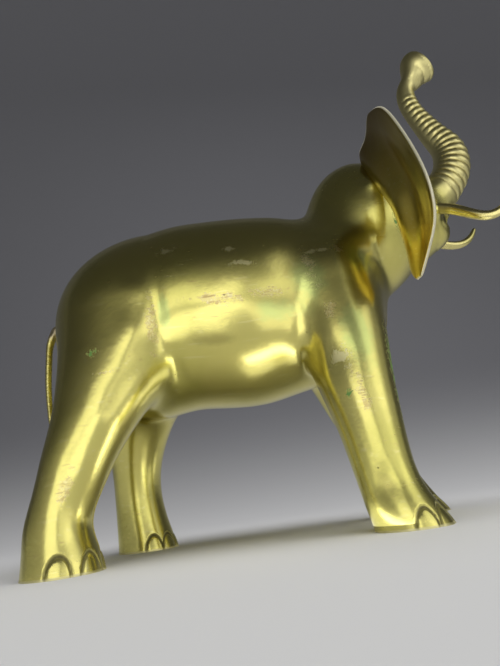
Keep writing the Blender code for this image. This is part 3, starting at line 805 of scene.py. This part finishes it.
# %% Make the tusks and the tail
def make_rod(name, rows, in_head, swelling=None, sides=28, rings=90):
    """Path point plus cosine times half depth across it plus sine times half width aside it, for
    each place along the path; the last rings shrink as a half circle does, and both ends close."""
    places, table = spline_table(line_lengths(rows), rows, rings)
    ahead = np.gradient(table[:, :3], axis=0)
    ahead /= np.linalg.norm(ahead, axis=1, keepdims=True)
    across = np.cross(ahead, (0.0, 1.0, 0.0))
    across /= np.linalg.norm(across, axis=1, keepdims=True)
    aside = np.cross(across, ahead)
    angle = np.arange(sides) * 2 * np.pi / sides
    left = (places[-1] - places) / max(table[-1, 3], 0.05)
    round_tip = np.sqrt(np.clip(1.0 - np.clip(1.0 - left, 0.0, 1.0) ** 2, 0.02, 1.0))[:, None, None]
    size = np.ones((rings, sides)) if swelling is None else swelling(places[:, None], angle[None, :])
    deep = np.cos(angle)[None, :, None] * table[:, None, 3:4]
    wide = np.sin(angle)[None, :, None] * table[:, None, 4:5]
    points = (
        table[:, None, :3]
        + across[:, None] * deep * round_tip * size[..., None]
        + aside[:, None] * wide * round_tip * size[..., None]
    )
    points = np.concatenate([points.reshape(-1, 3), table[:1, :3], table[-1:, :3]])
    if in_head:
        points = turned(points, -HEAD_TURN)
    number = np.arange(rings * sides).reshape(rings, sides)
    beside = np.roll(number, -1, axis=1)
    quads = np.stack([number[:-1], beside[:-1], beside[1:], number[1:]], axis=-1).reshape(-1, 4).tolist()
    first = np.stack([np.full(sides, rings * sides), beside[0], number[0]], axis=1).tolist()
    last = np.stack([np.full(sides, rings * sides + 1), number[-1], beside[-1]], axis=1).tolist()
    mesh = bpy.data.meshes.new(name)
    mesh.from_pydata(((points - BOX_MIDDLE) * MODULE).tolist(), [], quads + first + last)
    outward(mesh)
    write_attribute(mesh, "along", np.concatenate([np.repeat(places, sides), places[:1], places[-1:]]))
    return mesh_object(name, mesh)


SOLDER_LENGTH = 0.9  # in modules


def solder_lumps(place, angle):
    """Size of the tail's root: swollen and lumpy for the first module, then plain."""
    near = np.exp(-((place / SOLDER_LENGTH) ** 2))
    return 1.0 + near * (0.35 + 0.22 * np.sin(3 * angle + 5 * place) + 0.12 * np.sin(7 * angle - 9 * place))


tusks = {
    "right": make_rod("cast_tusk_right", TUSK_RIGHT, True),
    "left": make_rod("cast_tusk_left", TUSK_LEFT, True),
}
for side, tusk in tusks.items():
    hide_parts("tusk_" + side)
tail = make_rod("cast_tail", TAIL, False, solder_lumps)
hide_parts("tail")
print("rod faces each:", len(tail.data.polygons))

# %% [markdown]
# ## Finishes
#
# Polished brass that has stood about for years isn't one colour. It has a cloudy olive film, bare
# yellow metal where hands rub it, brown scuffs, black dirt in the grooves and green specks of
# corrosion. Each of these is a node group with named inputs, built once, and every material places
# the groups with its own values. The groups only give masks and heights. The metal itself stays in
# each material's own Principled shader. Painted shade goes into the grooves along with the dirt, and a
# few marks are painted highlights and dark reflections.

# %% Helpers for nodes
def add(tree, kind, wires=None, **settings):
    """Adds a node. Settings are its options; wires fills inputs, with a link for a socket and a plain
    value for anything else."""
    made = tree.nodes.new("ShaderNode" + kind)
    for key, value in settings.items():
        setattr(made, key, value)
    for key, value in (wires or {}).items():
        if isinstance(value, bpy.types.NodeSocket):
            tree.links.new(value, made.inputs[key])
        else:
            made.inputs[key].default_value = value
    return made


def math_node(tree, operation, first, second=0.0):
    """One sum of two numbers, as an output socket."""
    return add(tree, "Math", {0: first, 1: second}, operation=operation).outputs[0]


def step_between(tree, value, low, high):
    """Zero below low, one above high and a smooth S between, as an output socket."""
    ends = {"Value": value, "From Min": low, "From Max": high}
    return add(tree, "MapRange", ends, interpolation_type="SMOOTHSTEP").outputs["Result"]


def inverse(tree, value):
    """One less the value, as an output socket."""
    return math_node(tree, "SUBTRACT", 1.0, value)


def object_place(tree):
    """The Object coordinate, in metres, as an output socket."""
    return add(tree, "TexCoord").outputs["Object"]


def split(tree, vector):
    """The X, Y and Z of a vector, as three output sockets."""
    return add(tree, "SeparateXYZ", {0: vector}).outputs


def colour_mix(tree, share, first, second):
    """The first colour where the share is zero and the second where it is one."""
    return add(tree, "Mix", {0: share, 6: first, 7: second}, data_type="RGBA").outputs[2]


def new_group(name, inputs):
    """A group with these inputs (name, kind and default) and one output, Mask."""
    group = bpy.data.node_groups.new(name, "ShaderNodeTree")
    for label, kind, default in inputs:
        socket = group.interface.new_socket(label, in_out="INPUT", socket_type="NodeSocket" + kind)
        socket.default_value = default
    group.interface.new_socket("Mask", in_out="OUTPUT", socket_type="NodeSocketFloat")
    return group, group.nodes.new("NodeGroupInput").outputs, group.nodes.new("NodeGroupOutput").inputs


print("node helpers ready")

# %% [markdown]
# Clouds are plain noise cut between two levels. Scratches are the same noise, stretched fourteen times
# along one line and turned, so that its blots become strokes.

# %% Clouds and scratches
NO_TURN = (0.0, 0.0, 0.0)
STRETCH = (1.0, 14.0, 14.0)
cloud_group, knobs, result = new_group(
    "clouds",
    (("Scale", "Float", 20.0), ("Low", "Float", 0.4), ("High", "Float", 0.6), ("Shift", "Vector", NO_TURN)),
)
spot = add(cloud_group, "VectorMath", {0: object_place(cloud_group), 1: knobs["Shift"]}, operation="ADD")
noise = {"Vector": spot.outputs["Vector"], "Scale": knobs["Scale"], "Detail": 6.0, "Roughness": 0.6}
cloud = add(cloud_group, "TexNoise", noise).outputs["Fac"]
cloud_group.links.new(step_between(cloud_group, cloud, knobs["Low"], knobs["High"]), result["Mask"])

scratch_group, knobs, result = new_group(
    "scratches",
    (
        *(("Scale", "Float", 60.0), ("Turn", "Vector", NO_TURN)),
        *(("Low", "Float", 0.62), ("High", "Float", 0.68)),
    ),
)
spot = object_place(scratch_group)
spot = add(scratch_group, "Mapping", {"Vector": spot, "Rotation": knobs["Turn"], "Scale": STRETCH})
noise = {"Vector": spot.outputs["Vector"], "Scale": knobs["Scale"], "Detail": 3.0, "Roughness": 0.5}
strokes = add(scratch_group, "TexNoise", noise).outputs["Fac"]
scratch_group.links.new(step_between(scratch_group, strokes, knobs["Low"], knobs["High"]), result["Mask"])
print("groups:", cloud_group.name, scratch_group.name)

# %% [markdown]
# Pits are the small black holes where gas bubbled in the mould. A Voronoi texture scatters points
# evenly, the distance to the nearest one makes a dot, and the cell's random colour keeps only some.
#
# A scuff is a worn place at a known spot. Its mask is one minus the distance from its middle, in half
# sizes, with noise taken off, so its edge breaks up as rubbed metal does. The side is folded before
# the distance is measured, so the far flank is scuffed in the same places but in its own pattern.

# %% Pits and scuffs
pit_group, knobs, result = new_group(
    "pits", (("Scale", "Float", 160.0), ("Size", "Float", 0.1), ("Share", "Float", 0.2))
)
cell = add(pit_group, "TexVoronoi", {"Vector": object_place(pit_group), "Scale": knobs["Scale"]})
chance = add(pit_group, "SeparateColor", {"Color": cell.outputs["Color"]}).outputs["Red"]
kept = math_node(pit_group, "LESS_THAN", chance, knobs["Share"])
dot = inverse(pit_group, step_between(pit_group, cell.outputs["Distance"], 0.0, knobs["Size"]))
pit_group.links.new(math_node(pit_group, "MULTIPLY", dot, kept), result["Mask"])

FOLD_SIDE = -BOX_MIDDLE[1] * MODULE  # where the figure's own middle plane lies
scuff_group, knobs, result = new_group(
    "scuff",
    (
        ("Middle", "Vector", (0, 0, 0)),
        ("Half Size", "Vector", (0.01, 0.01, 0.01)),
        ("Turn", "Vector", NO_TURN),
        ("Grain", "Float", 160.0),
        ("Break Up", "Float", 1.0),
    ),
)
spot = object_place(scuff_group)
parts = split(scuff_group, spot)
side = math_node(scuff_group, "ABSOLUTE", math_node(scuff_group, "SUBTRACT", parts["Y"], FOLD_SIDE))
side = math_node(scuff_group, "SUBTRACT", FOLD_SIDE, side)
folded = add(scuff_group, "CombineXYZ", {"X": parts["X"], "Y": side, "Z": parts["Z"]}).outputs["Vector"]
ellipsoid = {"Location": knobs["Middle"], "Rotation": knobs["Turn"], "Scale": knobs["Half Size"]}
local = add(scuff_group, "Mapping", {"Vector": folded, **ellipsoid}, vector_type="TEXTURE").outputs["Vector"]
reach = add(scuff_group, "VectorMath", {0: local}, operation="LENGTH").outputs["Value"]
noise = {"Vector": spot, "Scale": knobs["Grain"], "Detail": 6.0, "Roughness": 0.72}
grain = add(scuff_group, "TexNoise", noise).outputs["Fac"]
ragged = math_node(scuff_group, "MULTIPLY", math_node(scuff_group, "SUBTRACT", grain, 0.5), 4.0)
ragged = math_node(scuff_group, "MULTIPLY", ragged, knobs["Break Up"])
inside = math_node(scuff_group, "ADD", inverse(scuff_group, reach), ragged)
inside = step_between(scuff_group, inside, 0.15, 0.75)
fading = inverse(scuff_group, step_between(scuff_group, reach, 0.6, 1.4))
scuff_group.links.new(math_node(scuff_group, "MULTIPLY", inside, fading), result["Mask"])
print("groups:", pit_group.name, scuff_group.name)

# %% [markdown]
# ## Putting the groups together
#
# A small builder starts each material: it lays one colour over another by a mask, and keeps count of
# roughness, metal and height in the same way. Reading down a material then tells the brass's history
# in order: bare metal, film, scuffs, dirt, corrosion, with painted shade, highlights and reflections
# laid in among them.

# %% Layers of a finish
class Finish:
    """A Principled material whose colour, roughness, metal and height are built up layer by layer."""

    def __init__(self, name, colour, roughness):
        self.material = bpy.data.materials.new(name)
        self.material.use_nodes = True
        self.tree = self.material.node_tree
        self.shader = self.tree.nodes["Principled BSDF"]
        self.colour = add(self.tree, "RGB").outputs[0]
        self.colour.default_value = (*colour, 1.0)
        self.roughness, self.metal, self.height = (add(self.tree, "Value").outputs[0] for _ in range(3))
        self.roughness.default_value = roughness
        self.metal.default_value = 1.0
        self.height.default_value = 0.0

    def mask(self, group, **values):
        """The Mask of a group placed here with its own values; underscores stand for spaces."""
        made = self.tree.nodes.new("ShaderNodeGroup")
        made.node_tree = group
        for key, value in values.items():
            made.inputs[key.replace("_", " ")].default_value = value
        return made.outputs["Mask"]

    def attribute(self, name):
        """A number that was written on the mesh."""
        return add(self.tree, "Attribute", attribute_name=name).outputs["Fac"]

    def mix(self, first, second, mask):
        """First where the mask is zero and second where it is one."""
        return add(self.tree, "Mix", {0: mask, 2: first, 3: second}).outputs[0]

    def layer(self, mask, amount, colour=None, roughness=None, metal=None, height=0.0):
        """Lays a finish over what is there, by mask times amount; height is in millimetres."""
        share = math_node(self.tree, "MULTIPLY", mask, amount)
        if colour is not None:
            self.colour = colour_mix(self.tree, share, self.colour, (*colour, 1.0))
        if roughness is not None:
            self.roughness = self.mix(self.roughness, roughness, share)
        if metal is not None:
            self.metal = self.mix(self.metal, metal, share)
        if height:
            raised = math_node(self.tree, "MULTIPLY", mask, height)
            self.height = math_node(self.tree, "ADD", self.height, raised)

    def close(self, *pieces):
        """Joins the layers to the shader and puts the material on the pieces."""
        bump = add(self.tree, "Bump", {"Height": self.height, "Distance": 0.001, "Strength": 1.0})
        wires = {"Base Color": self.colour, "Roughness": self.roughness, "Metallic": self.metal}
        for name, socket in wires.items():
            self.tree.links.new(socket, self.shader.inputs[name])
        self.tree.links.new(bump.outputs["Normal"], self.shader.inputs["Normal"])
        for piece in pieces:
            piece.data.materials.clear()
            piece.data.materials.append(self.material)


print("layer builder ready")

# %% [markdown]
# Every casting shares the same wear, so one function lays it: two films, two sets of slow waves that a
# hand with a file leaves, a fine grain, two sets of scratches and the pits. Heights are in millimetres.

# %% Colours and the wear that all castings share
BARE = (0.74, 0.67, 0.20)  # clean brass, a touch green
OLIVE = (0.55, 0.52, 0.13)  # under a thin film
GREEN_FILM = (0.55, 0.64, 0.22)
DARK_REFLECTION_TONE = (0.36, 0.32, 0.10)  # painted dark reflection
BROWN = (0.46, 0.31, 0.13)  # stained
PINKISH = (0.62, 0.50, 0.28)  # copper left where the zinc has gone
GRIME_AND_SHADE = (0.035, 0.028, 0.010)  # dirt, with painted shade, in grooves
RING_SHADE = (0.26, 0.21, 0.06)  # painted shade in the grooves between the trunk's rings
VERDIGRIS = (0.08, 0.30, 0.06)
PALE = (0.86, 0.80, 0.45)  # filed or freshly rubbed edge
TRUNK_SATIN = (0.83, 0.75, 0.36)
# The ear's top colour is painted shade, and its rim colour is a painted highlight.
EAR_CLOUDS, EAR_TOP_SHADE, EAR_RIM_HIGHLIGHT = (0.42, 0.31, 0.05), (0.17, 0.115, 0.02), (0.84, 0.80, 0.60)
SOLDER = (0.45, 0.38, 0.26)


def worn_brass(name, colour, roughness):
    """The layers that all the castings share: film, faint hand-finished waves, brush marks, pits."""
    finish = Finish(name, colour, roughness)
    film = finish.mask(cloud_group, Scale=13.0, Low=0.42, High=0.66)
    finish.layer(film, 0.6, OLIVE, roughness + 0.06)
    wiped = finish.mask(cloud_group, Scale=30.0, Low=0.5, High=0.7, Shift=(3.0, 1.0, 2.0))
    finish.layer(wiped, 0.4, BARE, roughness - 0.03)
    ripples = finish.mask(cloud_group, Scale=42.0, Low=0.2, High=0.8, Shift=(7.0, 5.0, 2.0))
    finish.layer(ripples, 0.0, height=0.07)
    waves = finish.mask(cloud_group, Scale=19.0, Low=0.1, High=0.9, Shift=(4.0, 9.0, 6.0))
    finish.layer(waves, 0.0, height=0.22)
    grain = finish.mask(cloud_group, Scale=420.0, Low=0.35, High=0.65)
    finish.layer(grain, 0.12, None, roughness + 0.18, height=0.002)
    bright = finish.mask(scratch_group, Scale=42.0, Turn=(0.2, 0.4, 0.5))
    finish.layer(bright, 0.20, PALE, roughness + 0.08, height=-0.002)
    stained = finish.mask(scratch_group, Scale=60.0, Turn=(1.1, 0.2, 2.0), Low=0.66, High=0.7)
    finish.layer(stained, 0.3, BROWN, roughness + 0.1)
    pits = finish.mask(pit_group, Scale=95.0, Size=0.07, Share=0.12)
    finish.layer(pits, 0.9, GRIME_AND_SHADE, 0.7, 0.2, height=-0.12)
    return finish


print("colours:", BARE, OLIVE, BROWN)

# %% [markdown]
# The body carries the marks that tell where this very casting was rubbed and knocked: scuffs along
# the upper flank, on the shoulder and down the shins, green specks on the chest and rump, and thin
# films that shift its colour. Dull olive patches are painted dark reflections. A mark is a middle and
# half sizes in modules, like the sections, and where it needs them a turn and an amount.

# %% Marks on the body
SCUFFS = (
    ((-1.6, -6.2, 12.85), (1.7, 1.2, 0.42), (0.0, 0.12, 0.0), 0.75),
    ((1.2, -6.0, 13.0), (1.4, 1.2, 0.38), (0.0, 0.05, 0.0), 0.45),
    ((3.8, -5.6, 14.5), (0.45, 1.2, 1.5), (0.0, -0.25, 0.0), 0.6),
    ((5.6, -5.3, 15.2), (0.55, 0.9, 0.4), (0.0, 0.4, 0.0), 0.6),
    ((4.5, -6.0, 11.6), (0.38, 1.0, 0.7), (0.0, 0.0, 0.0), 0.45),
    ((-5.3, -5.9, 12.0), (0.32, 1.2, 2.1), (0.0, 0.0, 0.0), 0.45),
    ((5.2, -6.3, 6.8), (0.36, 1.0, 1.3), (0.0, -0.15, 0.0), 0.5),
    ((-9.9, -6.5, 3.9), (0.34, 1.0, 1.1), (0.0, 0.3, 0.0), 0.5),
    ((-7.9, -6.2, 9.5), (0.8, 1.0, 0.14), (0.0, 0.0, 0.0), 0.5),
)
RUBBED = (
    ((-4.3, -5.8, 16.5), (0.7, 0.9, 0.3)),
    ((0.1, -6.3, 14.8), (0.9, 0.9, 0.22)),
    ((-0.6, -6.2, 15.85), (0.4, 0.9, 0.2)),
    ((4.6, -6.1, 8.7), (0.55, 1.0, 0.7)),
    ((4.4, -5.35, 15.3), (0.9, 0.8, 0.16)),
)
FILMED = (
    ((3.7, -5.8, 13.4), (1.5, 1.8, 2.6)),
    ((5.6, -6.0, 9.8), (1.3, 1.8, 3.2)),
    ((6.6, -4.8, 14.6), (1.5, 1.8, 1.6)),
    ((1.6, -6.2, 12.0), (1.9, 1.6, 1.0)),
    ((-4.6, -6.0, 12.6), (0.5, 1.6, 1.8)),
)
# Painted dark reflections: dull olive patches where the brass should mirror something dark.
PAINTED_DARK_REFLECTIONS = (
    ((4.5, -6.1, 8.9), (0.75, 1.3, 1.25), (0.0, -0.35, 0.0)),
    ((5.5, -6.35, 2.2), (0.50, 1.2, 0.95), (0.0, -0.5, 0.0)),
    ((-2.2, -5.4, 10.9), (2.2, 1.3, 0.6), (0.0, 0.1, 0.0)),
    ((3.6, -5.4, 8.9), (0.28, 1.0, 1.5), (0.0, 0.0, 0.0)),
    ((-6.0, -5.7, 8.9), (0.30, 1.0, 0.9), (0.0, 0.4, 0.0)),
    ((-8.2, -5.3, 2.0), (0.5, 1.2, 1.8), (0.0, 0.0, 0.0)),
)
CORRODED = (
    ((-8.46, -6.38, 10.69), (0.30, 0.5, 0.25)),
    ((4.63, -6.19, 6.74), (0.24, 0.5, 0.24)),
    ((7.5, -4.8, 7.4), (0.5, 1.0, 2.8)),
    ((9.9, -4.5, 17.6), (0.3, 0.5, 1.2)),
)

print("marks:", len(SCUFFS), len(RUBBED), len(FILMED), len(PAINTED_DARK_REFLECTIONS), len(CORRODED))

# %% [markdown]
# The layers go on in the order in which they came: films first, then what was rubbed through them,
# then green specks, then the satin of the trunk with painted brown shade between its rings, black dirt
# with painted shade in the nails and mouth, and last the pale rim where the soles are worn. The painted
# dark reflections go on with the films.

# %% Brass of the body
def patch(middle, size, turn=NO_TURN, grain=160.0, break_up=1.0):
    """Mask of one mark: the scuff group at a place and with half sizes that are given in modules."""
    metres = ((np.array(middle) - BOX_MIDDLE) * MODULE).tolist()
    sizes = [half * MODULE for half in size]
    return brass.mask(scuff_group, Middle=metres, Half_Size=sizes, Turn=turn, Grain=grain, Break_Up=break_up)


brass = worn_brass("body brass", (0.69, 0.625, 0.195), 0.22)
for mark in FILMED:
    brass.layer(patch(*mark, grain=30.0, break_up=0.5), 0.7, GREEN_FILM, 0.24)
# Painted dark reflections.
for mark in PAINTED_DARK_REFLECTIONS:
    brass.layer(patch(*mark, grain=40.0, break_up=0.35), 0.6, DARK_REFLECTION_TONE, 0.27)
rubbed_raw = 0.0
for *mark, amount in SCUFFS:
    worn = math_node(brass.tree, "MULTIPLY", patch(*mark, break_up=1.3), amount)
    rubbed_raw = math_node(brass.tree, "MAXIMUM", worn, rubbed_raw)
brass.layer(rubbed_raw, 0.6, PINKISH, 0.34)
strokes = brass.mask(scratch_group, Scale=80.0, Turn=(0.0, 0.1, 0.0), Low=0.48, High=0.58)
brass.layer(math_node(brass.tree, "MULTIPLY", rubbed_raw, strokes), 0.9, BROWN, 0.45, height=-0.01)
stipple = brass.mask(cloud_group, Scale=650.0, Low=0.5, High=0.62)
brass.layer(math_node(brass.tree, "MULTIPLY", rubbed_raw, stipple), 0.7, PALE, 0.4, height=0.004)
for mark in RUBBED:
    brass.layer(patch(*mark, grain=220.0, break_up=1.6), 0.6, PALE, 0.45)
for mark in CORRODED:
    brass.layer(patch(*mark, grain=500.0, break_up=2.2), 0.85, VERDIGRIS, 0.8, 0.1, height=0.03)
spot = split(brass.tree, object_place(brass.tree))
# The trunk is where 0.8 of X and 0.6 of Z come to more than about 0.2 metres.
ahead = math_node(brass.tree, "MULTIPLY", spot["X"], 0.8)
ahead = math_node(brass.tree, "ADD", ahead, math_node(brass.tree, "MULTIPLY", spot["Z"], 0.6))
on_trunk = step_between(brass.tree, ahead, 0.205, 0.226)
brass.layer(on_trunk, 0.75, TRUNK_SATIN, 0.38)
# The number on the mesh holds dirt and painted shade together: grooves, nails, nostrils, mouth and eyelids.
dirt_and_shade = brass.attribute("dirt_and_shade")
ring_groove_shade = math_node(brass.tree, "MULTIPLY", dirt_and_shade, on_trunk)
# Dirt and painted shade, near black, in the nails, the mouth and the eyelid creases.
brass.layer(math_node(brass.tree, "SUBTRACT", dirt_and_shade, ring_groove_shade), 0.85, GRIME_AND_SHADE, 0.65, 0.4)
# Painted shade, brown, in the grooves between the trunk's rings.
brass.layer(ring_groove_shade, 0.8, RING_SHADE, 0.5)
sole_rim = inverse(brass.tree, step_between(brass.tree, spot["Z"], 0.0004, 0.0014))
brass.layer(sole_rim, 0.8, PALE, 0.55)
brass.close(elephant_body)
print("body material nodes:", len(brass.tree.nodes))

# %% [markdown]
# The ears are browner, with painted shade that is darkest at the top and a painted highlight along
# their rims. The tusks are paler and darker towards their sockets. The tail's root is a lumpy
# grey-brown solder joint.

# %% Brass of the ears, tusks and tail
ear_brass = worn_brass("ear brass", (0.62, 0.48, 0.10), 0.30)
clouds = ear_brass.mask(cloud_group, Scale=30.0, Low=0.35, High=0.7, Shift=(1.0, 8.0, 0.0))
ear_brass.layer(clouds, 0.4, EAR_CLOUDS, 0.34)
ear_height = split(ear_brass.tree, object_place(ear_brass.tree))["Z"]
# Painted shade: the ear darkens towards its top.
ear_brass.layer(step_between(ear_brass.tree, ear_height, 0.180, 0.225), 0.85, EAR_TOP_SHADE, 0.36)
# Painted highlight: a pale, barely metallic rim that the overhead lamp lights.
rim = step_between(ear_brass.tree, ear_brass.attribute("rim"), 0.35, 0.75)
ear_brass.layer(rim, 0.9, EAR_RIM_HIGHLIGHT, 0.4, 0.25)
ear_brass.close(*ears.values())

tusk_brass = worn_brass("tusk brass", (0.80, 0.70, 0.32), 0.24)
root = inverse(tusk_brass.tree, step_between(tusk_brass.tree, tusk_brass.attribute("along"), 0.5, 1.1))
# Darker towards the root, where the tusk meets its socket.
tusk_brass.layer(root, 0.5, GRIME_AND_SHADE, 0.6)
tusk_brass.close(*tusks.values())

tail_brass = worn_brass("tail brass", (0.66, 0.58, 0.20), 0.24)
root = inverse(tail_brass.tree, step_between(tail_brass.tree, tail_brass.attribute("along"), 0.9, 1.7))
tail_brass.layer(root, 0.9, SOLDER, 0.5)
tail_brass.layer(tail_brass.mask(cloud_group, Scale=380.0, Low=0.4, High=0.6), 0.3, GRIME_AND_SHADE, 0.6, height=0.05)
tail_brass.close(tail)
print("materials:", [material.name for material in bpy.data.materials])

# %% [markdown]
# ## Floor and light
#
# The floor sweeps up behind in one curve, as paper does in a studio: a profile carried sideways. Its
# colour runs from pale in front to dark behind, painted shade for light falling off towards the back,
# because the back of polished metal mirrors what is behind and above it.

# %% Studio floor
FLOOR_FRONT, FLOOR_BACK, FLOOR_SIDE = -2.5, 0.3, 9.0  # edges of the level part, in metres
SWEEP, WALL_TOP = 1.5, 4.0  # radius of the curve, and how far up the paper goes
FLOOR_PALE, FLOOR_PAINTED_SHADE = (0.74, 0.74, 0.745, 1.0), (0.20, 0.20, 0.215, 1.0)
flat = np.linspace(FLOOR_FRONT, FLOOR_BACK, 24)
arc = np.linspace(0.05, np.pi / 2, 32)
wall = np.linspace(SWEEP + 0.1, WALL_TOP, 8)
depth = np.concatenate([flat, FLOOR_BACK + SWEEP * np.sin(arc), np.full(len(wall), FLOOR_BACK + SWEEP)])
rise = np.concatenate([np.zeros(len(flat)), SWEEP - SWEEP * np.cos(arc), wall])
count = len(depth)
profile = np.stack([depth, rise], axis=-1)
sheet = np.stack([np.insert(profile, 0, edge, axis=1) for edge in (-FLOOR_SIDE, FLOOR_SIDE)])
number = np.arange(2 * count).reshape(2, count)
quads = np.stack([number[0, :-1], number[1, :-1], number[1, 1:], number[0, 1:]], axis=-1)
floor_mesh = bpy.data.meshes.new("studio floor")
floor_mesh.from_pydata(sheet.reshape(-1, 3).tolist(), [], quads.tolist())
floor_mesh.shade_smooth()
floor = bpy.data.objects.new("studio_floor", floor_mesh)
bpy.context.scene.collection.objects.link(floor)
paper = bpy.data.materials.new("studio paper")
paper.use_nodes = True
tree = paper.node_tree
reach = split(tree, object_place(tree))["Y"]
# Painted shade: the paper darkens from pale to dark grey between 0.1 and 1.3 metres behind.
tone = colour_mix(tree, step_between(tree, reach, 0.1, 1.3), FLOOR_PALE, FLOOR_PAINTED_SHADE)
tree.links.new(tone, tree.nodes["Principled BSDF"].inputs["Base Color"])
tree.nodes["Principled BSDF"].inputs["Roughness"].default_value = 0.9
floor_mesh.materials.append(paper)
print("floor faces:", len(floor_mesh.polygons))

# %% [markdown]
# Polished metal shows its surroundings, so the light is planned as what the brass should mirror. A
# wide soft card stands in front, a little to the left, and gives the bright fields on thigh, flank,
# shoulder and head. Cards that lie on the floor light the legs' insides and the belly, where the
# smallest makes the hot strip. They are seen by the metal alone, as a photographer flags a reflector.
# One panel overhead lights the floor and makes the soft shadow.

# %% Lights
def panel(name, place, target, size, brightness, twist=0.0, for_metal=True):
    """A soft rectangle at a place, facing a target. A card for metal is seen in reflections alone, and
    the others light the floor alone. Power is four times area times the brightness it should show."""
    light = bpy.data.lights.new(name, "AREA")
    light.shape = "RECTANGLE"
    light.size, light.size_y = size
    light.energy = 4.0 * size[0] * size[1] * brightness
    lamp = bpy.data.objects.new(name, light)
    bpy.context.scene.collection.objects.link(lamp)
    away = (Vector(place) - Vector(target)).normalized()
    facing = away.to_track_quat("Z", "Y").to_matrix().to_4x4() @ Matrix.Rotation(twist, 4, "Z")
    lamp.matrix_world = Matrix.Translation(place) @ facing
    lamp.visible_camera = False
    lamp.visible_glossy = for_metal
    lamp.visible_diffuse = not for_metal
    return lamp


# Cards on the floor face straight up: name, place, size, brightness and twist.
FLOOR_CARDS = (
    ("left floor card", (-0.055, -0.65, 0.003), (0.36, 0.9), 1.0, -0.41),
    ("centre floor card", (0.15, -0.33, 0.002), (0.22, 0.36), 0.62, 0.0),
    ("inner card", (0.10, 0.04, 0.003), (0.08, 0.18), 0.9, 0.0),
    ("hot bar", (0.018, -0.0650, 0.003), (0.090, 0.021), 2.9, 0.25),
    ("under card", (0.015, -0.036, 0.003), (0.090, 0.036), 0.7, 0.25),
)
panel("window card", (-0.30, -1.40, 0.31), (-0.30, 0.0, 0.31), (1.0, 0.60), 0.92)
panel("right card", (1.15, -1.30, 0.30), (0.0, 0.0, 0.12), (1.6, 0.7), 0.48)
for card, place, size, brightness, twist in FLOOR_CARDS:
    panel(card, place, (*place[:2], 1.0), size, brightness, twist)
panel("overhead", (0.2, -0.4, 1.6), (0.0, 0.0, 0.0), (1.4, 1.4), 2.7, for_metal=False)

# %% [markdown]
# The world fills what the cards leave open. It runs from grey low in front to near black above and
# behind, by a lean that adds the direction's height and shares of its other parts. A soft glow to the
# right of the camera lights the trunk and the leading edge of the shoulder.

# %% World
LOW_TONE, HIGH_TONE = (0.50, 0.50, 0.50, 1.0), (0.045, 0.045, 0.047, 1.0)
GLOW_TOWARD, GLOW_TONE = (0.76, -0.50, 0.42), (1.1, 1.1, 1.1, 1.0)
world = bpy.data.worlds.new("studio")
bpy.context.scene.world = world
world.use_nodes = True
sky = world.node_tree
direction = add(sky, "TexCoord").outputs["Generated"]
look = split(sky, direction)
lean = add(sky, "Math", {0: look["X"], 1: -0.15, 2: look["Z"]}, operation="MULTIPLY_ADD").outputs[0]
lean = add(sky, "Math", {0: look["Y"], 1: 0.25, 2: lean}, operation="MULTIPLY_ADD").outputs[0]
shade = colour_mix(sky, step_between(sky, lean, -0.25, 0.62), LOW_TONE, HIGH_TONE)
toward = add(sky, "VectorMath", {0: direction, 1: GLOW_TOWARD}, operation="DOT_PRODUCT").outputs["Value"]
glow = colour_mix(sky, step_between(sky, toward, 0.90, 1.0), shade, GLOW_TONE)
sky.links.new(glow, sky.nodes["Background"].inputs["Color"])
bpy.context.scene.view_settings.view_transform = "Standard"
print("world nodes:", len(sky.nodes))

# %% [markdown]
# ## Last step
#
# The view layer is brought up to date.

# %% Update the view layer
bpy.context.view_layer.update()
